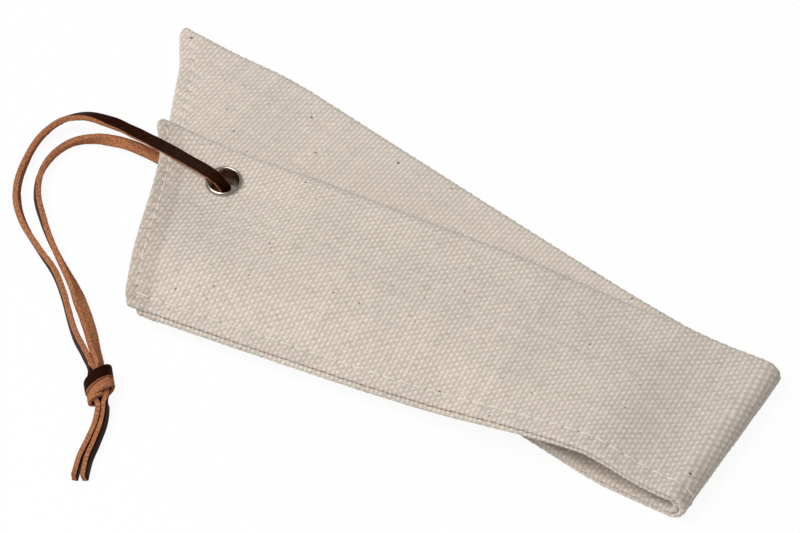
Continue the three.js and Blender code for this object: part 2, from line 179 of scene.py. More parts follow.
# %% [markdown]
# ## Materials as node graphs
# Every finish is made of nodes. A small helper keeps the graphs readable: it makes a node, sets
# its fixed values by socket name, and links the rest.

# %% Helpers for node graphs
def add_node(tree, kind, settings=None, **inputs):
    node = tree.nodes.new(kind)
    for key, value in (settings or {}).items():
        setattr(node, key, value)
    for key, value in inputs.items():
        feed(tree, socket_of(node, key), value)
    return node


def socket_of(node, key):
    if key.startswith("in") and key[2:].isdigit():
        return node.inputs[int(key[2:])]
    return node.inputs[key.replace("_", " ")]


def feed(tree, socket, value):
    if isinstance(value, bpy.types.NodeSocket):
        tree.links.new(value, socket)
    else:
        socket.default_value = value


def srgb(red, green, blue):
    def linear(c):
        c = c / 255
        return c / 12.92 if c <= 0.04045 else ((c + 0.055) / 1.055) ** 2.4

    return (linear(red), linear(green), linear(blue), 1.0)


def new_material(name):
    material = bpy.data.materials.new(name)
    material.use_nodes = True
    return material, material.node_tree, material.node_tree.nodes["Principled BSDF"]


def maths(tree, operation, a, b=0.0):
    return add_node(tree, "ShaderNodeMath", {"operation": operation}, in0=a, in1=b).outputs[0]


def ranged(tree, value, low, high, to_low=0.0, to_high=1.0):
    node = add_node(tree, "ShaderNodeMapRange", {"interpolation_type": "SMOOTHSTEP"}, Value=value)
    ends = {"From Min": low, "From Max": high, "To Min": to_low, "To Max": to_high}
    for key, number in ends.items():
        feed(tree, node.inputs[key], number)
    return node.outputs[0]


def mixed(tree, factor, a, b, blend="MIX"):
    node = add_node(tree, "ShaderNodeMix", {"data_type": "RGBA", "blend_type": blend})
    feed(tree, node.inputs["Factor"], factor)
    feed(tree, node.inputs[6], a)
    feed(tree, node.inputs[7], b)
    return node.outputs[2]


def attribute_of(tree, name):
    return add_node(tree, "ShaderNodeAttribute", {"attribute_name": name}).outputs["Fac"]


def cloth_uv(tree):
    return add_node(tree, "ShaderNodeUVMap", {"uv_map": "cloth"}).outputs[0]


def stretched(tree, vector, scale):
    return add_node(tree, "ShaderNodeMapping", Vector=vector, Scale=scale).outputs[0]


def noise(tree, vector, scale, detail=3.0, roughness=0.55):
    sizes = {"Scale": scale, "Detail": detail, "Roughness": roughness}
    return add_node(tree, "ShaderNodeTexNoise", Vector=vector, **sizes).outputs["Fac"]


def dress(tree, shader, height, strength, distance, **inputs):
    """Give a shader its values and its fine bump, which is a distance deep in millimetres."""
    bump = add_node(
        tree, "ShaderNodeBump", Height=height, Strength=strength, Distance=distance * MM,
    )
    inputs["Normal"] = bump.outputs[0]
    for key, value in inputs.items():
        feed(tree, socket_of(shader, key), value)


def object_place(tree):
    return add_node(tree, "ShaderNodeTexCoord").outputs["Object"]


# %% [markdown]
# ## The lace's leather
# The lace is cut from thin hide. Its outer face is the smooth grain, dyed nearly black-brown, and
# its back and cut edges are the raw flesh, a warm tan with a short nap. The mesh carries a value
# that is 1 on the grain and 0 elsewhere, and the two finishes meet along that line, as they do at
# a cut edge.

# %% Leather
GRAIN_DARK = srgb(29, 9, 2)
GRAIN_LIGHT = srgb(50, 21, 11)
FLESH_DARK = srgb(116, 66, 38)
FLESH_LIGHT = srgb(206, 141, 102)
FLESH_STREAK = srgb(168, 104, 68)
FLESH_ROUGH = 0.93

leather, tree, shader = new_material("lace_leather")
uv = cloth_uv(tree)
grain = attribute_of(tree, "grain")
pores = noise(tree, uv, 2.6, 4.0)
streaks = noise(tree, stretched(tree, uv, (0.35, 1.6, 1.0)), 1.4, 4.0, 0.65)
nap = noise(tree, uv, 1.5, 5.0, 0.7)
grain_colour = mixed(tree, ranged(tree, streaks, 0.35, 0.75), GRAIN_DARK, GRAIN_LIGHT)
flesh_base = mixed(tree, ranged(tree, nap, 0.3, 0.7), FLESH_DARK, FLESH_LIGHT)
flesh_streaks = ranged(tree, streaks, 0.3, 0.8, 0.0, 0.45)
flesh_colour = mixed(tree, flesh_streaks, flesh_base, FLESH_STREAK)
ragged_line = maths(tree, "ADD", grain, maths(tree, "MULTIPLY", nap, 0.25))
is_grain = ranged(tree, ragged_line, 0.55, 0.75)
leather_colour = mixed(tree, is_grain, flesh_colour, grain_colour)
grain_rough = ranged(tree, pores, 0.3, 0.7, 0.42, 0.58)
rough = add_node(
    tree, "ShaderNodeMix", {"data_type": "FLOAT"}, in0=is_grain, in2=FLESH_ROUGH, in3=grain_rough,
)
fibre = maths(tree, "MULTIPLY", nap, maths(tree, "SUBTRACT", 1.15, is_grain))
height = maths(tree, "ADD", fibre, maths(tree, "MULTIPLY", pores, 0.2))
dress(
    tree, shader, height, 0.9, 0.25,
    Base_Color=leather_colour, Roughness=rough.outputs[0], Specular_IOR_Level=0.03,
)
print("made", leather.name)

# %% [markdown]
# ## The lace
# The lace is one flat strap, doubled through the eyelet and tied in an overhand knot. Each leg
# starts in the eyelet's bore, lies along the table to the knot, passes through it and ends in a
# short tail. Cloth simulation would not give back the exact curve of the photograph, so each leg
# is swept along nearly the same route as its CAD solid. A strap has two faces, so its turn about
# the route matters too: its grain faces up on top of the pouch, and its edge faces up where it
# lies on the table.

# %% The lace's route
eyelet_low, eyelet_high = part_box("eyelet")
EYELET_X = (eyelet_low.x + eyelet_high.x) / 2 / MM
EYELET_Y = (eyelet_low.y + eyelet_high.y) / 2 / MM
LACE_WIDTH = 3.2
LACE_THICK = 1.3
STRAP_CLEARANCE = 0.06
BORE_RUN = 6.0

# x and y from the eyelet's axis, z above the table, and the strap's turn in degrees
OVER_LEG = [
    (0.9, -0.9, 7.2, -14), (0.6, -0.9, 9.0, -16), (-0.8, -0.9, 10.8, -20), (-3.0, -0.9, 12.1, -25),
    (-6.0, -0.9, 12.8, -27), (-12.0, -0.7, 13.15, -27), (-18.6, -0.3, 13.1, -26),
    (-25.0, 0.2, 12.5, -23), (-32.0, 1.1, 11.1, -17), (-40.6, 2.1, 9.1, -3), (-50.6, 1.4, 6.5, 30),
    (-56.4, -2.4, 4.5, 55), (-58.9, -9.4, 2.8, 70), (-57.8, -18.5, 1.9, 82),
    (-54.6, -27.0, 1.75, 94), (-50.1, -33.2, 1.75, 106), (-43.6, -38.5, 1.75, 107),
    (-34.8, -43.3, 1.75, 101), (-26.8, -47.3, 1.75, 91), (-20.3, -52.2, 1.75, 88),
    (-12.3, -59.5, 1.9, 86), (-8.0, -63.0, 2.2, 84), (-3.1, -66.2, 2.8, 84), (1.9, -69.8, 3.4, 82),
]
UNDER_LEG = [
    (0.9, -0.9, 7.2, 0), (0.2, -0.6, 5.7, 0), (-4.2, 0.0, 4.7, 0), (-14.0, 0.5, 4.8, -2),
    (-18.3, 0.7, 4.9, -3), (-23.0, 0.65, 5.05, -4), (-31.5, 0.8, 4.65, -15), (-39.4, 0.4, 3.1, -55),
    (-45.6, -1.4, 2.1, -95), (-50.0, -5.4, 1.9, -112), (-52.2, -12.0, 1.75, -109),
    (-51.4, -19.8, 1.75, -108), (-47.4, -27.2, 1.75, -105), (-41.2, -33.2, 1.75, -97),
    (-34.0, -38.9, 1.75, -85), (-26.0, -44.3, 1.75, -70), (-19.0, -48.8, 1.75, -54),
    (-12.8, -53.5, 1.8, -26), (-6.7, -58.6, 2.0, -32), (-1.2, -63.9, 2.7, -50),
    (3.2, -67.8, 3.4, -64),
]
LEFT_TAIL = [
    (10.9, -79.1, 3.0, -94), (13.4, -84.4, 1.9, -92), (14.9, -90.0, 1.75, -91),
    (16.2, -95.6, 1.75, -90), (18.3, -101.0, 1.75, -90),
]
RIGHT_TAIL = [
    (12.3, -77.9, 3.0, 102), (14.9, -83.0, 1.9, 101), (16.7, -88.9, 1.75, 100),
    (18.3, -94.7, 1.75, 100), (20.6, -99.7, 1.75, 100),
]


def smooth_route(rows, steps):
    """Points of a smooth curve through the rows, with as many steps between each two of them."""
    rows = np.array(rows, float)
    places = np.vstack([2 * rows[0] - rows[1], rows, 2 * rows[-1] - rows[-2]])
    chord = np.sqrt(np.linalg.norm(np.diff(places[:, :3], axis=0), axis=1))
    found = []
    for k in range(1, len(places) - 2):
        p0, p1, p2, p3 = places[k - 1 : k + 3]
        d0, d1, d2 = chord[k - 1 : k + 2]
        into = ((p1 - p0) / d0 - (p2 - p0) / (d0 + d1) + (p2 - p1) / d1) * d1
        out = ((p2 - p1) / d1 - (p3 - p1) / (d1 + d2) + (p3 - p2) / d2) * d1
        t = np.arange(steps)[:, None] / steps
        cubic = 2 * p1 - 2 * p2 + into + out
        square = -3 * p1 + 3 * p2 - 2 * into - out
        spot = p1 + into * t + square * t**2 + cubic * t**3
        spot[:, 3] = (p1 + (p2 - p1) * t)[:, 3]
        found.append(spot)
    found.append(rows[-1:])
    return np.vstack(found)


def run_of(line):
    return np.concatenate([[0], np.cumsum(np.linalg.norm(np.diff(line[:, :3], axis=0), axis=1))])


def route_faces(line, later_face):
    """The strap's outward direction along a line. In the eyelet's bore it faces along X, and
    further on it has the given direction. There it is turned about the line by the twist."""
    spots, twist = line[:, :3], np.radians(line[:, 3])[:, None]
    along = unit(np.gradient(spots, axis=0))
    past_bore = smoothstep(run_of(line) / BORE_RUN)[:, None]
    face = lerp(np.array([1.0, 0, 0]), np.array(later_face, float), past_bore)
    face = square_to(along, face)
    return along, face * np.cos(twist) + np.cross(along, face) * np.sin(twist)


def length_of(line):
    return float(run_of(line)[-1])


def resting(line, wide, thick):
    """Raise a line where its strap would sink into the table."""
    turn = np.radians(line[:, 3])
    reach = np.abs(np.sin(turn)) * wide / 2 + np.abs(np.cos(turn)) * thick / 2
    line[:, 2] = np.maximum(line[:, 2], reach + STRAP_CLEARANCE)
    return line


ROUTE_STEPS = 12
over_line = smooth_route(OVER_LEG + LEFT_TAIL, ROUTE_STEPS)
under_line = smooth_route(UNDER_LEG + RIGHT_TAIL, ROUTE_STEPS)
over_wide = 3.45
over_thick = lerp(1.45, 1.75, ramp(run_of(over_line), 35, 20))
under_wide = 3.4 + 0.5 * np.exp(-(((run_of(under_line) - 122) / 16) ** 2))
under_thick = lerp(1.3, 1.75, ramp(run_of(under_line), 38, 15))
over_line = resting(over_line, over_wide, over_thick)
under_line = resting(under_line, under_wide, under_thick)
print("over leg and tail", round(length_of(over_line), 1), "mm")
print("under leg and tail", round(length_of(under_line), 1), "mm")

# %% [markdown]
# A strap's section is a flat bar whose corners are a little rounded on the grain side, where the
# hide was burnished, and sharper on the flesh side. The cut wanders by a few hundredths of a
# millimetre, and the raw flesh is slightly uneven.

# %% Sweep a strap
SECTION = np.array([
    (1.0, -0.62), (1.0, 0.0), (1.0, 0.45), (0.94, 0.82), (0.82, 1.0), (0.5, 1.0), (0.0, 1.0),
    (-0.5, 1.0), (-0.82, 1.0), (-0.94, 0.82), (-1.0, 0.45), (-1.0, 0.0), (-1.0, -0.62),
    (-0.96, -0.92), (-0.86, -1.0), (-0.5, -1.0), (0.0, -1.0), (0.5, -1.0), (0.86, -1.0),
    (0.96, -0.92),
])
SECTION_GRAIN = (SECTION[:, 1] > np.where(SECTION[:, 0] > 0, 0.75, 0.9)).astype(float)
CUT_WANDER, WANDER_REACH = 0.05, 6
FLESH_UNEVEN = 0.03
END_BULGE = 0.15
random = np.random.default_rng(21)


def wander(count, size, reach):
    """A smooth random walk about zero, one number for each step along a strap."""
    raw = random.normal(0, 1, count + 8 * reach)
    weights = np.hanning(2 * reach + 1)
    walk = np.convolve(raw, weights / weights.sum(), "same")[4 * reach : 4 * reach + count]
    return size * walk / max(walk.std(), 1e-9)


def strap(name, spots, along, faces, closed=False, width=LACE_WIDTH, thick=LACE_THICK):
    count, around = len(spots), len(SECTION)
    sides = np.cross(along, faces)
    left, right = (wander(count, CUT_WANDER, WANDER_REACH) for _ in range(2))
    width, thick = (np.broadcast_to(np.asarray(size, float), (count,)) for size in (width, thick))
    across = SECTION[None, :, 0] * width[:, None] / 2
    across = across + np.where(SECTION[None, :, 0] > 0, right[:, None], left[:, None])
    depth = SECTION[None, :, 1] * thick[:, None] / 2
    rough = random.normal(0, FLESH_UNEVEN, (count, around)) * (1 - SECTION_GRAIN)[None]
    depth = depth + np.where(SECTION[None, :, 1] < 0, rough, 0)
    points = spots[:, None] + sides[:, None] * across[..., None] + faces[:, None] * depth[..., None]
    run = run_of(spots)
    section = SECTION * (width[0] / 2, thick[0] / 2)
    edge = np.linalg.norm(np.diff(section, axis=0, append=SECTION[:1]), axis=1)
    girth = np.concatenate([[0], np.cumsum(edge)[:-1]])
    uv = np.stack(np.broadcast_arrays(run[:, None], girth[None]), -1).reshape(-1, 2)
    index = np.arange(count * around).reshape(count, around)
    last = count if closed else count - 1
    triangles = []
    for i in range(last):
        a, b = index[i], index[(i + 1) % count]
        c, d = np.roll(b, -1), np.roll(a, -1)
        triangles += [np.stack([a, d, b], 1), np.stack([d, c, b], 1)]
    points, grain = points.reshape(-1, 3), np.tile(SECTION_GRAIN, count)
    if not closed:
        for end, facing in ((0, -1), (count - 1, 1)):
            centre = len(points)
            points = np.vstack([points, spots[end] + along[end] * facing * END_BULGE])
            uv, grain = np.vstack([uv, [run[end], 0.0]]), np.append(grain, 0.0)
            ring, after = index[end], np.roll(index[end], -1)
            hub = np.full(around, centre)
            cap = [ring, after, hub] if facing > 0 else [after, ring, hub]
            triangles.append(np.stack(cap, 1))
    triangles = facing_out(points, np.concatenate(triangles))
    piece = mesh_piece(name, points, triangles, uv, {"grain": grain})
    piece.data.materials.append(leather)
    return piece


def placed(line):
    return line[:, :3] + (EYELET_X, EYELET_Y, 0)


def leg(name, line, later_face, wide, thick):
    along, faces = route_faces(line, later_face)
    return strap(name, placed(line), along, faces, False, wide, thick)


over_leg = leg("lace_over_leg", over_line, (0, 0, 1), over_wide, over_thick)
under_leg = leg("lace_under_leg", under_line, (0, 0, -1), under_wide, under_thick)
print(over_leg.name, len(over_leg.data.polygons), under_leg.name, len(under_leg.data.polygons))

# %% [markdown]
# ## The knot
# Both legs go through one overhand knot, so two straps lie side by side round the bundle: one
# shows its grain and the other its flesh. Each turn is a closed strap on an oval round the
# bundle's axis, tilted as in the photograph, and a third turn shows below them where the tails
# come out.

# %% The knot's turns
KNOT_CENTRE = np.array([EYELET_X + 7.7, EYELET_Y - 74.0, 3.6])
KNOT_HEADING = math.radians(-47.8)
KNOT_AXIS = np.array([math.cos(KNOT_HEADING), math.sin(KNOT_HEADING), 0.0])
KNOT_ACROSS = np.array([-math.sin(KNOT_HEADING), math.cos(KNOT_HEADING), 0.0])
UP = np.array([0.0, 0.0, 1.0])
TURN_STEPS = 64


def knot_turn(name, at, aside, wide, high, tilt, grain_out, strap_width):
    angle = np.linspace(0, 2 * np.pi, TURN_STEPS, endpoint=False)
    across, lift = wide * np.cos(angle), high * np.sin(angle)
    forward = at + tilt * across
    spots = KNOT_CENTRE + np.outer(forward, KNOT_AXIS)
    spots = spots + np.outer(across + aside, KNOT_ACROSS) + np.outer(lift, UP)
    along = unit(np.roll(spots, -1, 0) - np.roll(spots, 1, 0))
    out = np.outer(np.cos(angle) / wide, KNOT_ACROSS) + np.outer(np.sin(angle) / high, UP)
    out = square_to(along, out)
    return strap(name, spots, along, out if grain_out else -out, True, strap_width)


knot_turns = [
    knot_turn("knot_upper_turn", -2.1, 0.0, 3.6, 2.75, -0.6, True, 3.8),
    knot_turn("knot_lower_turn", 1.3, 0.4, 3.2, 2.2, -0.6, False, 2.7),
    knot_turn("knot_under_turn", 3.3, -1.3, 1.9, 1.7, -0.35, False, 2.4),
]
print("knot turns", [t.name for t in knot_turns])

for leg, tail_node in ((over_leg, "lace_left_tail"), (under_leg, "lace_right_tail")):
    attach(leg, "lace")
    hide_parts("lace_loop", tail_node)
for turn in knot_turns:
    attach(turn, "lace")
    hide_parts("lace_knot")

# %% [markdown]
# ## The sleeve's shape
# The cloth is one long piece, folded along its length, so one long edge is a soft fold and the
# other is sewn. A point of the cloth is known by its distance along the folded edge and its
# distance across, from the fold to the seam. The two halves spread from each other by a small
# angle, because the crease is not quite square. The mouth half swells towards its mouth, and the
# eyelet pinches it.

# %% Sizes of the sleeve
CREASE_WIDTH, MOUTH_WIDTH, TIP_WIDTH = 54.0, 62.6, 54.5
FAN = math.radians(5.2)
CLOTH = 1.2
FLAT_HALF, MOUTH_HALF = 0.6, 3.3
SEAM_HALF, SEAM_WIDTH, SEAM_SLOPE = 1.8, 5.5, 12.0
ROLL = SEAM_HALF / 2
HEM_DEPTH, HEM_LAYER = 8.0, 0.8
TOP_LEVEL, TIP_LEVEL = 14.0, FLAT_HALF + CLOTH
BEND_REACH, LOOP_RADIUS, NOSE = 30.0, 3.6, 1.8
TIP_NEAR_WIDTH = 57.2
EDGE_STEP = 0.8
CREASE_EDGE = CREASE_WIDTH / 2 / math.cos(FAN)
bend_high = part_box("canvas_bend")[1]
FOLD_X = bend_high.x / MM
FOLD_Y = bend_high.y / MM - CREASE_EDGE - BEND_REACH * math.tan(FAN)
EYELET_P, EYELET_Q = 165.8, 12.3
PINCH_GAP, PINCH_INNER, PINCH_OUTER = 1.0, 8.0, 32.0
UNDER_SETBACK = 3.0
TIP_BUNCH, TIP_BOW = 1.0, 5.0
SEAM_DROOP = 2.0
EYELET_SAG, TWIST = 1.0, 3.0
EAR_START, EAR_RUN, MOUTH_EAR, TIP_EAR = 3.2, 11.0, 1.3, 1.9
MOUTH_HOLLOW, HOLLOW_RUN, MOUTH_FULL, FULL_RUN = 1.5, 12.0, 2.9, 48.0
BOW_START, BOW_RUN, BOW_POWER = 45.0, 120.0, 1.15
BOW_LOST, BOW_CORNER, BOW_CORNER_RUN = 0.64, 172.0, 36.0
LEAST_GAP = 0.12

MOUTH = {
    "length": 193.0, "slant": math.radians(20.5), "lean": 1, "near": CREASE_WIDTH,
    "width": MOUTH_WIDTH, "up": 1,
}
TIP = {
    "length": 210.0, "slant": math.radians(31.0), "lean": -1, "near": TIP_NEAR_WIDTH,
    "width": TIP_WIDTH, "up": -1,
}


def start_of(half, q):
    return (BEND_REACH + half["lean"] * q * math.sin(FAN)) / math.cos(FAN)


def bow_of(half, p, q):
    """How far the tip half's folded edge bows outwards. It is straight beside the fold, fullest
    before the tip and drawn in at the corner."""
    if half is MOUTH:
        return 0.0 * q
    growth = np.clip((p - BOW_START) / BOW_RUN, 0, 1) ** BOW_POWER
    growth = growth * (1 - BOW_LOST * ramp(p, BOW_CORNER, BOW_CORNER_RUN))
    return TIP_BOW * growth * np.clip(1 - q / TIP_NEAR_WIDTH, 0, 1)


def end_of(half, q):
    end = half["length"] - q * math.tan(half["slant"])
    ear = 1 - ramp(q, EAR_START, EAR_RUN)
    if half is MOUTH:
        hollow = MOUTH_HOLLOW * smoothstep(q / HOLLOW_RUN)
        return end - hollow + MOUTH_FULL * ramp(q, HOLLOW_RUN, FULL_RUN) + MOUTH_EAR * ear
    return end + bow_of(half, end, q) * math.tan(half["slant"]) + TIP_EAR * ear


def trim_of(half, q, v):
    """The cloth's end along the folded edge. The layer under the mouth is a little shorter at its
    seam."""
    shorter = UNDER_SETBACK * smoothstep(q / half["width"]) if half is MOUTH else 0
    return end_of(half, q) - np.where(v < 0, shorter, 0)


def width_at(half, p):
    """The sleeve's width. For the bend, half is None and p is the distance past the crease."""
    if half is None:
        return CREASE_WIDTH + (TIP_NEAR_WIDTH - CREASE_WIDTH) * smoothstep((2 - p) / 33)
    near = start_of(half, half["near"])
    far = end_of(half, half["width"])
    return half["near"] + (half["width"] - half["near"]) * (p - near) / (far - near)


def ply_step(half, p):
    """How far the lower layer of the mouth half stands out beyond the upper one at the sewn
    edge."""
    return EDGE_STEP * ramp(p, 32, 40) if half is MOUTH else 0.0 * p


def swelling(half, p, q):
    """Half the gap between the layers, before the eyelet pinches it."""
    if half is TIP:
        return FLAT_HALF + TIP_BUNCH * ramp(p, 186, 20) * smoothstep((15 - q) / 15)
    share = (p - start_of(half, q)) / (end_of(half, q) - start_of(half, q))
    return lerp(FLAT_HALF, MOUTH_HALF, np.sin(np.clip(share, 0, 1) * np.pi / 2))


def outer_height(half, p, q, width):
    """Height of the cloth's outer face over the sleeve's middle plane."""
    gap = swelling(half, p, q)
    if half is MOUTH:
        distance = np.hypot(p - EYELET_P, q - EYELET_Q)
        open_share = ramp(distance, PINCH_INNER, PINCH_OUTER - PINCH_INNER)
        gap = lerp(PINCH_GAP / 2, gap, open_share)
    seam = ramp(q, width - SEAM_WIDTH - SEAM_SLOPE, SEAM_SLOPE)
    return lerp(gap + CLOTH, SEAM_HALF, seam)


def section_of(half, p, v, inside, thick):
    """Across the sleeve: q from the folded edge and height over the middle plane. v is measured
    along the cloth from the folded edge, and inside goes from 0 outside to 1 inside."""
    a = np.abs(v)
    width = width_at(half, p)
    step = ply_step(half, p)
    last = width - ROLL - np.where(v >= 0, step, 0)

    def height(q):
        return SEAM_HALF if half is None else outer_height(half, p, q, width)

    edge = height(np.zeros_like(a)) * np.ones_like(a)
    arc = edge * np.pi / 2
    roll_start = arc + last - edge
    angle = np.clip(a / edge, 0, np.pi / 2)
    flat_q = np.clip(edge + a - arc, 0, last)
    turn = np.clip((a - roll_start) / ROLL, 0, np.pi)
    on_arc, on_roll = a < arc, a > roll_start
    arc_q = edge * (1 - np.cos(angle))
    back = np.clip(a - roll_start - ROLL * np.pi, 0, step)
    roll_q = last + ROLL * np.sin(turn) - back
    q_out = np.where(on_arc, arc_q, np.where(on_roll, roll_q, flat_q))
    lift_out = height(np.minimum(q_out, width)) * np.sin(angle)
    lift_out = np.where(on_roll, ROLL + ROLL * np.cos(turn), lift_out)
    inner_arc_q = edge - (edge - thick) * np.cos(angle)
    q_in = np.where(on_arc, inner_arc_q, np.minimum(flat_q, width - SEAM_WIDTH))
    least = LEAST_GAP * np.clip(angle * 4, 0, 1) * np.where(on_roll, 1 - turn / np.pi, 1)
    lift_in = np.maximum((height(q_out) - thick) * np.sin(angle), least)
    lift_in = np.where(on_roll, least, lift_in)
    return lerp(q_out, q_in, inside), lerp(lift_out, lift_in, inside)


def roll_end(half, p, v):
    """The length across the cloth from the folded edge to the bottom of the groove at the sewn
    edge."""
    width = width_at(half, p)
    edge = SEAM_HALF if half is None else outer_height(half, p, np.zeros_like(p), width)
    step = np.where(v >= 0, 1, -1) * ply_step(half, p)
    return edge * np.pi / 2 + width - ROLL - edge + ROLL * np.pi - step


def within_roll(half, p, v):
    limit = roll_end(half, p, v)
    return np.clip(v, -limit, limit), limit


def level_of(half, p, q):
    """Height of the sleeve's middle plane. Beside the fold the mouth half is twisted a little: its
    folded edge lies low and its sewn edge high. Further on the sewn edge droops, and the eyelet
    lies in a dip."""
    if half is TIP:
        return swelling(half, p, q) + CLOTH
    twist = TWIST * (1 - ramp(p, 36, 45)) * (2 * q / CREASE_WIDTH - 1)
    distance = np.hypot(p - EYELET_P, q - EYELET_Q)
    sag = EYELET_SAG * (1 - ramp(distance, 7, 24))
    droop = SEAM_DROOP * ramp(p, 45, 60) * ramp(q, 20, 38)
    return TOP_LEVEL - swelling(half, p, q) - CLOTH + twist - sag - droop


def half_points(half, p, v, inside=0.0, thick=CLOTH):
    q, lift = section_of(half, p, v, inside, thick)
    side = np.where(v >= 0, 1.0, -1.0) * half["up"]
    level = level_of(half, p, q)
    lean = half["lean"]
    place = q - bow_of(half, p, q)
    x = FOLD_X - p * math.cos(FAN) + lean * place * math.sin(FAN)
    y = FOLD_Y + CREASE_EDGE - lean * p * math.sin(FAN) - place * math.cos(FAN)
    return np.stack(np.broadcast_arrays(x, y, level + side * lift), -1), q


ARC_LENGTH = math.pi * LOOP_RADIUS
FLAT_RUN = BEND_REACH + NOSE - LOOP_RADIUS - TIP_LEVEL
HALF_PATH = FLAT_RUN + ARC_LENGTH / 2
NOSE_SPREAD, NOSE_TWIST = 0.9, 0.9


def bend_points(s, v, inside=0.0, thick=CLOTH):
    """The sleeve round the fold. s runs along it, from the tip half over the crease to the mouth
    half."""
    q, lift = section_of(None, s, v, inside, thick)
    run = s + HALF_PATH
    turn = np.clip((run - FLAT_RUN) / LOOP_RADIUS, 0, np.pi)
    share = np.clip((run - FLAT_RUN - ARC_LENGTH) / FLAT_RUN, 0, 1)
    centre_x = NOSE - LOOP_RADIUS - TIP_LEVEL
    x = np.minimum(run - BEND_REACH, centre_x) + LOOP_RADIUS * np.sin(turn)
    x = np.where(share > 0, lerp(centre_x, -BEND_REACH, share), x)
    aside = 2 * q / CREASE_WIDTH - 1
    x = x - NOSE_SPREAD * aside * smoothstep(1 - np.abs(s) / HALF_PATH)
    mouth_level = TOP_LEVEL - FLAT_HALF - CLOTH
    rise = mouth_level - TIP_LEVEL - 2 * LOOP_RADIUS
    z = TIP_LEVEL + LOOP_RADIUS * (1 - np.cos(turn)) + rise * smoothstep(share**1.4)
    z = z + aside * lerp(NOSE_TWIST, TWIST, smoothstep(share)) * (1 - np.cos(turn)) / 2
    edge_y = CREASE_EDGE - np.cos(turn) * x * math.tan(FAN)
    offset = np.where(v >= 0, -1.0, 1.0) * lift
    x, z = x - offset * np.sin(turn), z + offset * np.cos(turn)
    y = edge_y - q / math.cos(FAN)
    return np.stack(np.broadcast_arrays(x + FOLD_X, y + FOLD_Y, z), -1), q


print("fold at", round(FOLD_X, 2), round(FOLD_Y, 2), "mm")
print("cloth round the fold", round(2 * HALF_PATH, 1), "mm")

# %% [markdown]
# ## The weave
# Heavy canvas is a plain weave. Its thick lengthwise yarns ride over and under the cross yarns, so
# the face shows rows of small nubs, each row set half a step from the next. A bump map would leave
# the edges smooth, so the nubs are in the mesh: the points lie on a grid in step with the yarns,
# and each is raised or lowered by a sum of waves, one for the rows of yarns and two for the
# staggered nubs, of which one is stronger because the yarn's twist slants them. No two yarns are
# equally thick, so each nub gets its own height and tone from a table of random numbers with a
# fixed seed.

# %% Weave
YARN_ACROSS, YARN_ALONG = 0.95, 1.32
STEP_ACROSS, STEP_ALONG = YARN_ACROSS / 2, YARN_ALONG / 2
NUB_HEIGHT = 0.15
ROW_ALONG, ROW_ACROSS = 0.44, 0.17
NUB_SLANT, NUB_COUNTER = 0.36, 0.26
NUB_BREADTH, WAVE_SPAN = 1.35, 2.2
yarns = np.random.default_rng(7)
ACROSS_YARNS, ALONG_YARNS = 200, 420
across_tone = yarns.normal(0, 1, ACROSS_YARNS)
along_tone = yarns.normal(0, 1, ALONG_YARNS)
nub_tone = yarns.normal(0, 1, (ACROSS_YARNS, ALONG_YARNS))
nub_size = yarns.normal(0, 1, (ACROSS_YARNS, ALONG_YARNS))


def weave_at(u, v):
    """Height of the weave and the tone of the yarn at a point of the cloth."""
    across, along = v / YARN_ACROSS, u / YARN_ALONG
    column = np.rint(across).astype(int) % ACROSS_YARNS
    row = np.rint(along).astype(int) % ALONG_YARNS
    rows = ROW_ALONG * np.cos(2 * np.pi * along) + ROW_ACROSS * np.cos(2 * np.pi * across)
    nubs = NUB_SLANT * np.cos(np.pi * (along - across))
    nubs = nubs + NUB_COUNTER * np.cos(np.pi * (along + across))
    wave = rows + nubs * (1 + 0.4 * nub_size[column, row])
    broad = 1 - (1 - np.clip((wave + 1) / WAVE_SPAN, 0, 1)) ** NUB_BREADTH
    height = (WAVE_SPAN * broad - 1.2) * (1 + 0.2 * nub_size[column, row])
    tone = 0.45 * across_tone[column] + 0.35 * along_tone[row] + 0.6 * nub_tone[column, row]
    return NUB_HEIGHT * height, broad, tone


# %% [markdown]
# ## Seams, hems and soft unevenness
# Thread pulls the cloth in along each stitched line, so the line lies in a shallow furrow with a
# small dimple at every needle hole, and the cloth puckers slightly between the holes. Away from
# the seams the cloth is never quite flat. These forms are small heights that are added to the
# weave.

# %% Furrows and puckers
SEAM_PITCH, HEM_PITCH = 4.4, 3.7
SEAM_LINE, HEM_LINE, TIP_LINE = 4.8, 3.2, 4.2
SEAM_PULL, HEM_PULL = 0.10, 0.18
HOLE_REACH, HOLE_DEPTH = 0.38, 0.2
FURROW_DEPTH, FURROW_REACH, PUCKER_REACH = 0.05, 0.8, 2.8
HEM_RAISE, HEM_EDGE, HEM_SLOPE = 0.22, 1.2, 1.6
UNEVEN = 0.05


def needle_holes(run, aside, pitch):
    nearest = run - pitch * np.rint(run / pitch)
    return np.exp(-(np.hypot(nearest, aside) / HOLE_REACH) ** 2)


def stitched(run, aside, pitch, pull):
    furrow = -FURROW_DEPTH * np.exp(-((aside / FURROW_REACH) ** 2))
    pucker = pull * np.exp(-((aside / PUCKER_REACH) ** 2)) * -np.cos(2 * np.pi * run / pitch)
    holes = needle_holes(run, aside, pitch)
    return furrow + pucker - HOLE_DEPTH * holes, holes


def soft_waves(u, v):
    slow = np.sin(u / 17.0 + 0.9) * np.sin(v / 13.0 + 0.4)
    return UNEVEN * (slow + 0.7 * np.sin(u / 9.5 - v / 11.0 + 2.1))


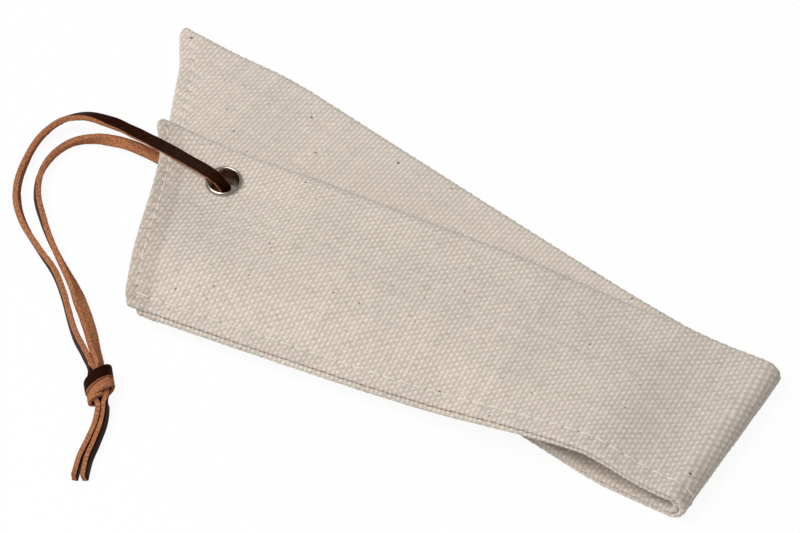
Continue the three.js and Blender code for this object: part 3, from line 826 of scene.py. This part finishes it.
def cloth_heights(half, u, v, p, q):
    weave, relief, tone = weave_at(u, v)
    width = width_at(half, p)
    lift, holes = stitched(u, q - (width - SEAM_LINE), SEAM_PITCH, SEAM_PULL)
    lift = lift + soft_waves(u, v) * smoothstep((width - q) / 12) * smoothstep(np.abs(v) / 8)
    hem = np.zeros_like(lift)
    if half is not None:
        slant = half["slant"]
        from_end = (trim_of(half, q, v) - p) * math.cos(slant)
        line = HEM_LINE if half is MOUTH else TIP_LINE
        end_lift, end_holes = stitched(q / math.cos(slant), from_end - line, HEM_PITCH, HEM_PULL)
        lift, holes = lift + end_lift, np.maximum(holes, end_holes)
        if half is MOUTH:
            hem = 1 - smoothstep((from_end - HEM_DEPTH + HEM_EDGE) / HEM_SLOPE)
            lift = lift + HEM_RAISE * hem
    return weave, lift, {"relief": relief, "tone": tone, "holes": holes, "hem": hem}


print("yarns per inch", round(25.4 / YARN_ACROSS, 1), "by", round(25.4 / YARN_ALONG, 1))

# %% [markdown]
# ## The canvas finish
# Undyed cotton is a warm off-white. The gaps between the yarns are painted darker and greyer than
# the nubs, as shade in the recesses, single yarns differ in tone, and bits of seed husk show as
# small brown and dark specks. The mesh carries the weave's height, the yarn's tone and the needle
# holes as values, so the colour follows the real yarns, the needle holes are painted dark as shade,
# and a fine noise stretched along the yarns adds the fibres.

# %% Seed specks as a node group, and the canvas material
def seed_specks():
    group = bpy.data.node_groups.new("seed_specks", "ShaderNodeTree")
    group.interface.new_socket("Vector", in_out="INPUT", socket_type="NodeSocketVector")
    for name in ("Spacing", "Share", "Size"):
        group.interface.new_socket(name, in_out="INPUT", socket_type="NodeSocketFloat")
    group.interface.new_socket("Mask", in_out="OUTPUT", socket_type="NodeSocketFloat")
    group.interface.new_socket("Tint", in_out="OUTPUT", socket_type="NodeSocketFloat")
    given, out = group.nodes.new("NodeGroupInput"), group.nodes.new("NodeGroupOutput")
    scale = maths(group, "DIVIDE", 1.0, given.outputs["Spacing"])
    start = given.outputs["Vector"]
    bent = add_node(group, "ShaderNodeTexNoise", Vector=start, Scale=1.1, Detail=2.0)
    scaled = {"operation": "SCALE"}
    shift = add_node(group, "ShaderNodeVectorMath", scaled, in0=bent.outputs["Color"], Scale=0.9)
    place = add_node(group, "ShaderNodeVectorMath", in0=start, in1=shift.outputs[0]).outputs[0]
    flat = {"voronoi_dimensions": "2D"}
    cells = add_node(group, "ShaderNodeTexVoronoi", flat, Vector=place, Scale=scale)
    chance = add_node(group, "ShaderNodeSeparateColor", Color=cells.outputs["Color"])
    chosen = maths(group, "LESS_THAN", chance.outputs[0], given.outputs["Share"])
    reach = maths(group, "MULTIPLY", cells.outputs["Distance"], given.outputs["Spacing"])
    uneven = maths(group, "ADD", chance.outputs[1], 0.5)
    wide = maths(group, "MULTIPLY", given.outputs["Size"], uneven)
    outside = ranged(group, reach, maths(group, "MULTIPLY", wide, 0.45), wide)
    spot = maths(group, "SUBTRACT", 1.0, outside)
    feed(group, out.inputs["Mask"], maths(group, "MULTIPLY", spot, chosen))
    feed(group, out.inputs["Tint"], chance.outputs[2])
    return group


specks_group = seed_specks()
NUB_COLOUR = srgb(235, 225, 213)
# The gap colour is painted shade for the recesses between the yarns.
GAP_SHADE_COLOUR = srgb(190, 177, 161)
HEM_TINT = srgb(236, 234, 232)
HUSK_DARK, HUSK_BROWN = srgb(58, 48, 40), srgb(142, 84, 48)
# The needle holes' colour is painted shade in the holes.
HOLE_SHADE_COLOUR = srgb(96, 82, 66)
YARN_VARIES = 0.04
SPECK_SIZES = ((8.0, 0.30, 0.30), (4.0, 0.10, 0.18), (27.0, 0.35, 0.40))

canvas, tree, shader = new_material("canvas")
uv = cloth_uv(tree)
relief, tone = attribute_of(tree, "relief"), attribute_of(tree, "tone")
holes, hem = attribute_of(tree, "holes"), attribute_of(tree, "hem")
fibres = noise(tree, stretched(tree, uv, (1.2, 4.0, 1.0)), 1.6, 4.0, 0.7)
cross_fibres = noise(tree, stretched(tree, uv, (4.0, 1.2, 1.0)), 1.6, 4.0, 0.7)
blotches = noise(tree, uv, 0.045, 2.0)
fluff = maths(tree, "MULTIPLY", maths(tree, "SUBTRACT", fibres, 0.5), 0.9)
raised = maths(tree, "ADD", relief, fluff)
# Low points of the weave take the gap colour, which is painted shade between the yarns.
colour = mixed(tree, ranged(tree, raised, 0.1, 1.0), GAP_SHADE_COLOUR, NUB_COLOUR)
tone_step = maths(tree, "MULTIPLY_ADD", tone, YARN_VARIES)
tone_step.node.inputs[2].default_value = 1.0
lightness = maths(tree, "MULTIPLY", tone_step, ranged(tree, blotches, 0.3, 0.7, 0.965, 1.025))
lightness = maths(tree, "MULTIPLY", lightness, ranged(tree, cross_fibres, 0.25, 0.75, 0.94, 1.05))
grey = add_node(tree, "ShaderNodeCombineColor", Red=lightness, Green=lightness, Blue=lightness)
colour = mixed(tree, 1.0, colour, grey.outputs[0], "MULTIPLY")
hem_colour = mixed(tree, 1.0, colour, HEM_TINT, "MULTIPLY")
colour = mixed(tree, maths(tree, "MULTIPLY", hem, 0.8), colour, hem_colour)
for spacing, share, size in SPECK_SIZES:
    specks = add_node(tree, "ShaderNodeGroup", {"node_tree": specks_group}, Vector=uv)
    for key, number in (("Spacing", spacing), ("Share", share), ("Size", size)):
        specks.inputs[key].default_value = number
    brown = ranged(tree, specks.outputs["Tint"], 0.55, 0.95)
    husk = mixed(tree, brown, HUSK_DARK, HUSK_BROWN)
    colour = mixed(tree, maths(tree, "MULTIPLY", specks.outputs["Mask"], 0.85), colour, husk)
# The needle holes are painted dark, as shade in the holes.
colour = mixed(tree, maths(tree, "MULTIPLY", holes, 0.6), colour, HOLE_SHADE_COLOUR)
fuzz = maths(tree, "ADD", fibres, cross_fibres)
dress(
    tree, shader, fuzz, 0.8, 0.12, Base_Color=colour, Roughness=0.95, Specular_IOR_Level=0.2,
    Sheen_Weight=0.15, Sheen_Roughness=0.6,
)
print("made", canvas.name)

# %% [markdown]
# ## The two halves and the bend
# Each half is a closed shell: its outer face with the weave, a rounded lip round the mouth, and
# its inner face. The tip half has no mouth, and its outer face rolls over to a groove across the
# end, where both layers are turned in and sewn. The bend between the halves is a shell of its own,
# because the two halves move apart when the pouch is opened, and only the bend changes its shape
# then.

# %% Build the cloth shells
LIP = 1.0
EDGE_FADE = 0.8
CORNER_RADIUS, EAR_RADIUS = 3.2, 4.6
PATH_SHIFT = (HALF_PATH - BEND_REACH) / math.cos(FAN)
DIFFERENCE = 0.02
TABLE_CLEARANCE = 0.03


def rounding(over, radius):
    return radius - np.sqrt(radius**2 - np.clip(over, 0, radius) ** 2)


def stop_of(half, q, v):
    """Where the outer face of a half ends along the cloth, before its lip or its roll."""
    sewn_corner = rounding(q - (half["width"] - CORNER_RADIUS), CORNER_RADIUS)
    stop = trim_of(half, q, v) - np.maximum(sewn_corner, rounding(EAR_RADIUS - q, EAR_RADIUS))
    return stop - (LIP if half is MOUTH else ROLL)


def normals_of(surface, p, v, sense):
    along = surface(p + DIFFERENCE, v)[0] - surface(p - DIFFERENCE, v)[0]
    aside = surface(p, v + DIFFERENCE)[0] - surface(p, v - DIFFERENCE)[0]
    normal = np.cross(along, aside) * sense
    return normal / np.maximum(np.linalg.norm(normal, axis=-1), 1e-12)[..., None]


def rows_for(half, p):
    count = math.ceil(float(np.max(roll_end(half, p, -1.0))) / STEP_ACROSS)
    return np.arange(-count, count + 1) * STEP_ACROSS


def row_limits(half, v):
    """The start and the stop along the cloth of every row of points."""
    start, stop = np.full(v.shape, 32.0), np.full(v.shape, half["length"] - 12)
    for _ in range(8):
        q = half_points(half, start, within_roll(half, start, v)[0])[1]
        start = start_of(half, q)
        q = half_points(half, stop, within_roll(half, stop, v)[0])[1]
        stop = stop_of(half, q, v)
    return start, stop


def shell(name, columns, closed):
    """A closed shell from columns of points, each with its uv and its values."""
    if closed:
        columns = columns + columns[:1]
    points = np.stack([c["points"] for c in columns])
    uv = np.stack([c["uv"] for c in columns]).reshape(-1, 2)
    keys = list(columns[0]["values"])
    values = [np.stack([c["values"][k] for c in columns]).ravel() for k in keys]
    triangles = grid_triangles(*points.shape[:2])
    points, triangles, rest = merged(points.reshape(-1, 3), triangles, uv, *values)
    triangles = facing_out(points, triangles)
    piece = mesh_piece(name, points, triangles, rest[0], dict(zip(keys, rest[1:])))
    piece.data.materials.append(canvas)
    return piece


def half_column(half, p, v, inside=0.0, thick=CLOTH, flatten=1.0):
    v, limit = within_roll(half, p, v)
    points, q = half_points(half, p, v, inside, thick)
    u = (p + PATH_SHIFT) * half["lean"]
    weave, lift, values = cloth_heights(half, u, v, p, q)
    if inside < 1:
        normal = normals_of(lambda a, b: half_points(half, a, b), p, v, half["up"])
        fade = (1 - inside) * flatten * smoothstep((limit - np.abs(v)) / EDGE_FADE)
        points = points + normal * ((weave + lift) * fade)[..., None]
    if flatten < 1:
        points[..., 2] = lerp(level_of(half, p, q), points[..., 2], flatten)
    points[..., 2] = np.maximum(points[..., 2], TABLE_CLEARANCE)
    values["rim"] = (np.abs(p - start_of(half, q)) < 0.02) * (1.0 - inside)
    return {"points": points, "uv": np.stack([u, v], -1), "values": values}


def outer_columns(half, v, start, stop):
    first = math.floor((start.min() + PATH_SHIFT) / STEP_ALONG)
    last = math.ceil((stop.max() + PATH_SHIFT) / STEP_ALONG)
    steps = np.arange(first, last + 1) * STEP_ALONG - PATH_SHIFT
    return [half_column(half, np.clip(p, start, stop), v) for p in steps]


INNER_DEPTHS = (2.5, 5.0, 7.0, 8.2, 9.4, 14, 20, 28, 38, 50, 65, 80, 100, 120)


def mouth_shell():
    v = rows_for(MOUTH, np.linspace(30, 193, 40))
    start, stop = row_limits(MOUTH, v)
    columns = outer_columns(MOUTH, v, start, stop)
    for turn in np.linspace(0, np.pi, 9)[1:]:
        p = stop + LIP * math.sin(turn)
        columns.append(half_column(MOUTH, p, v, (1 - math.cos(turn)) / 2, CLOTH + HEM_LAYER))
    shorter = np.minimum(stop, stop[::-1])
    for depth in INNER_DEPTHS:
        thick = CLOTH + (HEM_LAYER if depth < 8.5 else 0)
        columns.append(half_column(MOUTH, np.maximum(shorter - depth, start), v, 1.0, thick))
    columns.append(half_column(MOUTH, start, v, 1.0))
    return shell("mouth_cloth", columns, True)


def tip_shell():
    v = rows_for(TIP, np.linspace(30, 210, 40))
    start, stop = row_limits(TIP, v)
    inner_stop = stop - SEAM_WIDTH
    columns = [half_column(TIP, inner_stop, v, 1.0, CLOTH, 0.0)]
    for share in np.linspace(1, 0, 13):
        columns.append(half_column(TIP, lerp(start, inner_stop, share), v, 1.0))
    columns += outer_columns(TIP, v, start, stop)
    for turn in np.linspace(0, np.pi, 8)[1:]:
        p, flatten = stop + ROLL * math.sin(turn), (1 + math.cos(turn)) / 2
        columns.append(half_column(TIP, p, v, 0.0, CLOTH, flatten))
    return shell("tip_cloth", columns, False)


def bend_column(s, v, inside=0.0):
    v, limit = within_roll(None, s, v)
    points, q = bend_points(s, v, inside)
    u = (s + q * math.sin(FAN)) / math.cos(FAN)
    weave, lift, values = cloth_heights(None, u, v, s, q)
    if inside < 1:
        fade = smoothstep((limit - np.abs(v)) / EDGE_FADE)
        points = points + normals_of(bend_points, s, v, 1) * ((weave + lift) * fade)[..., None]
    points[..., 2] = np.maximum(points[..., 2], TABLE_CLEARANCE)
    values["rim"] = (np.abs(s) > HALF_PATH - 1e-6) * (1.0 - inside)
    return {"points": points, "uv": np.stack([u, v], -1), "values": values}


def bend_shell():
    v = rows_for(None, np.array([-HALF_PATH]))
    first = np.full_like(v, -HALF_PATH)
    q = bend_points(first, within_roll(None, first, v)[0])[1]
    reach = HALF_PATH / math.cos(FAN) + TIP_NEAR_WIDTH * math.tan(FAN)
    count = math.ceil(reach / STEP_ALONG)
    columns = []
    for u in np.arange(-count, count + 1) * STEP_ALONG:
        s = u * math.cos(FAN) - q * math.sin(FAN)
        columns.append(bend_column(np.clip(s, -HALF_PATH, HALF_PATH), v))
    for s in np.linspace(HALF_PATH, -HALF_PATH, 41):
        columns.append(bend_column(np.full_like(v, s), v, 1.0))
    return shell("bend_cloth", columns, True)


mouth_cloth, tip_cloth, bend_cloth = mouth_shell(), tip_shell(), bend_shell()
for piece in (mouth_cloth, tip_cloth, bend_cloth):
    print(piece.name, len(piece.data.polygons), "triangles")

# %% [markdown]
# The eyelet goes through both layers, so a round hole is cut there. A boolean with a column keeps
# the shell closed and carries the weave's values along. The eyelet's flange hides the cut edge.

# %% Cut the eyelet's hole
HOLE_RADIUS = 4.65
HOLE_STEPS, HOLE_TOP = 48, 20.0


def cut_round_hole(piece, radius):
    n = HOLE_STEPS
    angle = np.linspace(0, 2 * np.pi, n, endpoint=False)
    ring = np.stack([EYELET_X + radius * np.cos(angle), EYELET_Y + radius * np.sin(angle)], 1)
    low, high = np.c_[ring, np.zeros(n)], np.c_[ring, np.full(n, HOLE_TOP)]
    points = np.vstack([low, high, [[EYELET_X, EYELET_Y, 0.0], [EYELET_X, EYELET_Y, HOLE_TOP]]])
    here, after = np.arange(n), np.roll(np.arange(n), -1)
    wall = [np.c_[here, after, after + n], np.c_[here, after + n, here + n]]
    foot, top = np.full(n, 2 * n), np.full(n, 2 * n + 1)
    lids = [np.c_[after, here, foot], np.c_[here + n, after + n, top]]
    column = mesh_piece("hole_column", points, np.vstack(wall + lids))
    modifier = piece.modifiers.new("hole", "BOOLEAN")
    modifier.object, modifier.operation, modifier.solver = column, "DIFFERENCE", "EXACT"
    graph = bpy.context.evaluated_depsgraph_get()
    mesh = bpy.data.meshes.new_from_object(piece.evaluated_get(graph), depsgraph=graph)
    old = piece.data
    piece.modifiers.remove(modifier)
    piece.data = mesh
    mesh.name = piece.name
    bpy.data.meshes.remove(old)
    bpy.data.objects.remove(column)


cut_round_hole(mouth_cloth, HOLE_RADIUS)
print(mouth_cloth.name, len(mouth_cloth.data.polygons), "faces with the hole")

# %% [markdown]
# ## Eyelet and washer
# The eyelet is stamped from thin nickel-plated brass. Its flange is rolled to a round crown, the
# barrel goes through both layers, and its end is curled over a flat washer on the underside. All
# of it is round, so a profile is turned about the axis, as a lathe does.

# %% Nickel, and the turned pieces
NICKEL = (0.60, 0.56, 0.48, 1)
TARNISH = (0.42, 0.38, 0.31, 1)

nickel, tree, shader = new_material("eyelet_nickel")
spot = object_place(tree)
cloudy = noise(tree, spot, 900.0, 4.0, 0.6)
scuffs = noise(tree, stretched(tree, spot, (1.0, 1.0, 6.0)), 2600.0, 3.0, 0.7)
tarnish = mixed(tree, ranged(tree, cloudy, 0.45, 0.8), NICKEL, TARNISH)
polish = ranged(tree, cloudy, 0.3, 0.75, 0.2, 0.3)
dress(tree, shader, scuffs, 0.12, 0.05, Base_Color=tarnish, Metallic=1.0, Roughness=polish)

EYELET_FOOT = eyelet_low.z / MM - EYELET_SAG
EYELET_PROFILE = [
    (3.90, 0.55), (3.96, 0.26), (4.18, 0.06), (4.55, 0.00), (4.95, 0.06), (5.24, 0.22),
    (5.33, 0.36), (5.20, 0.42), (4.80, 0.40), (4.52, 0.42), (4.45, 0.60), (4.45, 2.0), (4.45, 4.6),
    (4.50, 5.02), (4.70, 4.92), (5.10, 4.86), (5.40, 4.78), (5.52, 4.84), (5.54, 5.0), (5.49, 5.18),
    (5.39, 5.36), (5.26, 5.53), (5.13, 5.66), (5.0, 5.76), (4.86, 5.82), (4.72, 5.83), (4.58, 5.77),
    (4.46, 5.64), (4.35, 5.46), (4.22, 5.18), (4.08, 4.88), (3.95, 4.56), (3.83, 4.15), (3.75, 3.6),
    (3.71, 3.0), (3.72, 1.8),
]
WASHER_PROFILE = [
    (4.75, 0.06), (4.81, 0.0), (6.05, 0.0), (6.17, 0.04), (6.24, 0.14), (6.25, 0.25), (6.24, 0.36),
    (6.17, 0.46), (6.05, 0.50), (4.81, 0.50), (4.75, 0.44),
]
ROUND_STEPS = 96


def turned(name, profile, foot):
    profile = np.array(profile)
    angle = np.linspace(0, 2 * np.pi, ROUND_STEPS, endpoint=False)
    x = EYELET_X + np.outer(np.cos(angle), profile[:, 0])
    y = EYELET_Y + np.outer(np.sin(angle), profile[:, 0])
    z = np.broadcast_to(foot + profile[:, 1], x.shape)
    points = np.stack([x, y, z], -1)
    points = np.concatenate([points, points[:1]], 0)
    points = np.concatenate([points, points[:, :1]], 1)
    triangles = grid_triangles(*points.shape[:2])
    points, triangles, _ = merged(points.reshape(-1, 3), triangles)
    piece = mesh_piece(name, points, facing_out(points, triangles))
    piece.data.materials.append(nickel)
    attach(piece, "mouth_half")
    return piece


washer_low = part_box("eyelet_washer")[0]
eyelet = turned("eyelet_ring", EYELET_PROFILE, EYELET_FOOT)
washer = turned("washer_ring", WASHER_PROFILE, washer_low.z / MM - EYELET_SAG)
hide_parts("eyelet")
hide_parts("eyelet_washer")
print(eyelet.name, washer.name, "on the axis", round(EYELET_X, 2), round(EYELET_Y, 2))

# %% [markdown]
# ## Stitches
# The seam, the mouth's hem and the closed end are sewn with a lockstitch in pale cotton thread:
# the same short stitch shows again and again on both faces, sunk at both ends where the thread
# goes through the cloth. That is work for Geometry Nodes. The script gives one point for each
# stitch, with the direction of the seam and the cloth's outward direction, and the tree puts one
# bent thread on each point.

# %% Thread and the stitch tree
THREAD_DARK, THREAD_LIGHT = srgb(216, 206, 192), srgb(242, 236, 226)

thread, tree, shader = new_material("cotton_thread")
spot = object_place(tree)
twist = noise(tree, spot, 2400.0, 3.0, 0.6)
thread_colour = mixed(tree, ranged(tree, twist, 0.3, 0.7), THREAD_DARK, THREAD_LIGHT)
dress(tree, shader, twist, 0.6, 0.08, Base_Color=thread_colour, Roughness=0.85)


def stitch_tree():
    group = bpy.data.node_groups.new("stitches", "GeometryNodeTree")
    kinds = dict.fromkeys(("Stitch Length", "Thread Thickness", "Rise", "Sink"), "Float")
    kinds = {"Geometry": "Geometry", **kinds, "Seed": "Int", "Thread": "Material"}
    sockets = {
        name: group.interface.new_socket(name, in_out="INPUT", socket_type="NodeSocket" + kind)
        for name, kind in kinds.items()
    }
    group.interface.new_socket("Geometry", in_out="OUTPUT", socket_type="NodeSocketGeometry")
    given = group.nodes.new("NodeGroupInput").outputs
    out = group.nodes.new("NodeGroupOutput")

    def made(kind, settings=None, **inputs):
        return add_node(group, kind, settings, **inputs).outputs[0]

    half = maths(group, "MULTIPLY", given["Stitch Length"], 0.5)
    sunk = maths(group, "MULTIPLY", given["Sink"], -1.0)
    back = maths(group, "MULTIPLY", half, -1.0)
    bow = made(
        "GeometryNodeCurveQuadraticBezier", Resolution=7,
        Start=made("ShaderNodeCombineXYZ", X=back, Z=sunk),
        Middle=made("ShaderNodeCombineXYZ", Z=given["Rise"]),
        End=made("ShaderNodeCombineXYZ", X=half, Z=sunk),
    )
    ring = add_node(group, "GeometryNodeCurvePrimitiveCircle", Resolution=6)
    radius = maths(group, "MULTIPLY", given["Thread Thickness"], 0.5)
    feed(group, [i for i in ring.inputs if i.name == "Radius" and i.enabled][0], radius)
    tube = made(
        "GeometryNodeCurveToMesh", Curve=bow, Profile_Curve=ring.outputs[0], Fill_Caps=True,
    )
    vector = {"data_type": "FLOAT_VECTOR"}
    along = made("GeometryNodeInputNamedAttribute", vector, Name="along")
    outward = made("GeometryNodeInputNamedAttribute", vector, Name="outward")
    turn = made("FunctionNodeAlignRotationToVector", {"axis": "X"}, Vector=along)
    about_x = {"axis": "Z", "pivot_axis": "X"}
    face = made("FunctionNodeAlignRotationToVector", about_x, Rotation=turn, Vector=outward)
    size = add_node(group, "FunctionNodeRandomValue", {"data_type": "FLOAT"}, Seed=given["Seed"])
    low, high = (i for i in size.inputs if i.name in ("Min", "Max") and i.enabled)
    low.default_value, high.default_value = STITCH_VARIES
    amount = [o for o in size.outputs if o.enabled][0]
    scale = made("ShaderNodeCombineXYZ", X=amount, Y=1.0, Z=amount)
    put = made(
        "GeometryNodeInstanceOnPoints",
        Points=given["Geometry"], Instance=tube, Rotation=face, Scale=scale,
    )
    real = made("GeometryNodeRealizeInstances", Geometry=put)
    smooth = made("GeometryNodeSetShadeSmooth", Geometry=real)
    dressed = made("GeometryNodeSetMaterial", Geometry=smooth, Material=given["Thread"])
    feed(group, out.inputs[0], dressed)
    return group, {name: socket.identifier for name, socket in sockets.items()}


STITCH_VARIES = (0.9, 1.08)
STITCH_RISE, STITCH_SINK = 0.5, 0.25
THREAD_THICKNESS = 0.46
stitches_group, STITCH_INPUTS = stitch_tree()
THREAD_SEAT, HEM_SEAT = -0.03, -0.3


def stitches(name, rows, length, seed):
    """A mesh of stitches, from rows of points with their directions, all in millimetres."""
    places, along, outward = (np.concatenate(part) for part in zip(*rows))
    mesh = bpy.data.meshes.new(name + "_points")
    mesh.from_pydata((places * MM).tolist(), [], [])
    for key, vectors in (("along", along), ("outward", outward)):
        attribute = mesh.attributes.new(key, "FLOAT_VECTOR", "POINT")
        attribute.data.foreach_set("vector", vectors.astype(np.float32).ravel())
    source = add_object(name + "_points", mesh)
    modifier = source.modifiers.new("stitches", "NODES")
    modifier.node_group = stitches_group
    sizes = {
        "Stitch Length": length * MM, "Thread Thickness": THREAD_THICKNESS * MM,
        "Rise": STITCH_RISE * MM, "Sink": STITCH_SINK * MM, "Seed": seed, "Thread": thread,
    }
    for key, value in sizes.items():
        modifier[STITCH_INPUTS[key]] = value
    graph = bpy.context.evaluated_depsgraph_get()
    made = bpy.data.meshes.new_from_object(source.evaluated_get(graph), depsgraph=graph)
    bpy.data.objects.remove(source)
    for key in ("along", "outward"):
        if key in made.attributes:
            made.attributes.remove(made.attributes[key])
    for point in made.vertices:
        point.co.z = max(point.co.z, TABLE_CLEARANCE * MM)
    made.name = name
    piece = add_object(name, made)
    return piece


# %% [markdown]
# The stitched lines are known on the cloth: the seam runs a few millimetres inside the sewn edge,
# and the hem and the closed end run beside their slanted edges. Each stitch lies between two
# needle holes.

# %% Lay the stitches
AHEAD, BEND_AHEAD = 0.5, 0.3


def v_of(half, p, q):
    edge = outer_height(half, p, np.zeros_like(p), width_at(half, p))
    return edge * np.pi / 2 + q - edge


def half_row(half, p, v, ahead, seat=THREAD_SEAT):
    """Points on a half's outer face, with the direction to the points that are a little ahead."""
    normal = normals_of(lambda a, b: half_points(half, a, b), p, v, half["up"])
    u = (p + PATH_SHIFT) * half["lean"]
    here, q = half_points(half, p, v)
    _, lift, _ = cloth_heights(half, u, v, p, q)
    way = unit(half_points(half, *ahead)[0] - here)
    return here + normal * (lift + seat)[:, None], way, normal


def seam_row(half, side):
    low = math.ceil((start_of(half, half["near"]) + PATH_SHIFT) / SEAM_PITCH - 0.5)
    high = math.floor((end_of(half, half["width"]) - 3.5 + PATH_SHIFT) / SEAM_PITCH - 0.5)

    def place(p):
        return p, side * v_of(half, p, width_at(half, p) - SEAM_LINE)

    p = (np.arange(low, high + 1) + 0.5) * SEAM_PITCH - PATH_SHIFT
    return half_row(half, *place(p), place(p + AHEAD))


def end_row(half, side, line):
    slant = half["slant"]
    count = math.floor((half["width"] - SEAM_LINE - 1) / math.cos(slant) / HEM_PITCH - 0.5)
    run = (np.arange(1, count + 1) + 0.5) * HEM_PITCH

    def place(distance):
        q = distance * math.cos(slant)
        p = trim_of(half, q, np.full_like(q, side)) - line / math.cos(slant)
        return p, side * v_of(half, p, q)

    return half_row(half, *place(run), place(run + AHEAD), HEM_SEAT)


def bend_row(side):
    shift = (CREASE_WIDTH - SEAM_LINE) * math.sin(FAN)
    low = math.ceil((-HALF_PATH + shift) / math.cos(FAN) / SEAM_PITCH - 0.5)
    high = math.floor((HALF_PATH + shift) / math.cos(FAN) / SEAM_PITCH - 0.5)
    u = (np.arange(low, high + 1) + 0.5) * SEAM_PITCH
    s = u * math.cos(FAN) - shift
    q = width_at(None, s) - SEAM_LINE
    v = side * (SEAM_HALF * np.pi / 2 + q - SEAM_HALF)
    here = bend_points(s, v)[0]
    way = unit(bend_points(s + BEND_AHEAD, v)[0] - here)
    normal = normals_of(bend_points, s, v, 1)
    _, lift, _ = cloth_heights(None, u, v, s, q)
    return here + normal * (lift + THREAD_SEAT)[:, None], way, normal


SEAM_STITCH, HEM_STITCH = 3.9, 3.2


def sewn_half(name, half, line, seed):
    """The stitches of a half, on both of its faces: its long seam and its end."""
    end = "hem" if half is MOUTH else "end"
    seam = [seam_row(half, side) for side in (1, -1)]
    across = [end_row(half, side, line) for side in (1, -1)]
    return [
        stitches(f"{name}_seam_stitches", seam, SEAM_STITCH, seed),
        stitches(f"{name}_{end}_stitches", across, HEM_STITCH, seed + 1),
    ]


mouth_stitches = sewn_half("mouth", MOUTH, HEM_LINE, 1)
tip_stitches = sewn_half("tip", TIP, TIP_LINE, 3)
bend_rows = [bend_row(side) for side in (1, -1)]
bend_stitches = stitches("bend_seam_stitches", bend_rows, SEAM_STITCH, 5)
for piece in mouth_stitches + tip_stitches + [bend_stitches]:
    print(piece.name, len(piece.data.polygons), "faces")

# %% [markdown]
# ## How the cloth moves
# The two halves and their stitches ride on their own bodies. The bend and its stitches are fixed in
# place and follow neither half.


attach(mouth_cloth, "mouth_half")
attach(tip_cloth, "tip_half")
for piece in mouth_stitches:
    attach(piece, "mouth_half")
for piece in tip_stitches:
    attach(piece, "tip_half")
for piece in (bend_cloth, bend_stitches):
    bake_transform(piece)
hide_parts("canvas_mouth_half")
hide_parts("canvas_tip_half")
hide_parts("canvas_bend")

# %% [markdown]
# ## Floor and light
# The pouch lies on a plain white sweep under soft light from a large window-like lamp above it, on
# the camera's left, with white all round. The floor is white paper that takes the pouch's shadow.

# %% Floor, lamps and world
PAPER_TONE, WHITE_SHARE = 0.93, 0.93
LAMP_PLACE, LAMP_SIZE, LAMP_POWER = Vector((-0.72, -0.78, 1.98)), 1.5, 45.5
WORLD_STRENGTH = 0.26

floor_mesh = bpy.data.meshes.new("floor")
floor_mesh.from_pydata([(-4, -4, 0), (4, -4, 0), (4, 4, 0), (-4, 4, 0)], [], [(0, 1, 2, 3)])
floor = add_object("floor", floor_mesh)
paper = bpy.data.materials.new("paper")
paper.use_nodes = True
tree = paper.node_tree
tree.nodes.clear()
output = tree.nodes.new("ShaderNodeOutputMaterial")
diffuse = add_node(tree, "ShaderNodeBsdfDiffuse", Color=(PAPER_TONE, PAPER_TONE, PAPER_TONE, 1))
glow = add_node(tree, "ShaderNodeEmission", Color=(1, 1, 1, 1), Strength=1.0)
light_path = tree.nodes.new("ShaderNodeLightPath")
seen = light_path.outputs["Is Camera Ray"]
for ray in ("Is Glossy Ray", "Is Transmission Ray"):
    seen = maths(tree, "MAXIMUM", seen, light_path.outputs[ray])
share = maths(tree, "MULTIPLY", seen, WHITE_SHARE)
mix = add_node(tree, "ShaderNodeMixShader", in0=share, in1=diffuse.outputs[0], in2=glow.outputs[0])
feed(tree, output.inputs["Surface"], mix.outputs[0])
floor_mesh.materials.append(paper)

lamp_data = bpy.data.lights.new("window", "AREA")
lamp_data.shape, lamp_data.size, lamp_data.energy = "DISK", LAMP_SIZE, LAMP_POWER
lamp = add_object("window", lamp_data)
lamp.location = LAMP_PLACE
lamp.rotation_euler = (-LAMP_PLACE).to_track_quat("-Z", "Y").to_euler()
world = bpy.data.worlds.new("studio")
bpy.context.scene.world = world
world.use_nodes = True
background = world.node_tree.nodes["Background"]
background.inputs["Color"].default_value = (1, 1, 1, 1)
background.inputs["Strength"].default_value = WORLD_STRENGTH
bpy.context.scene.view_settings.view_transform = "Standard"
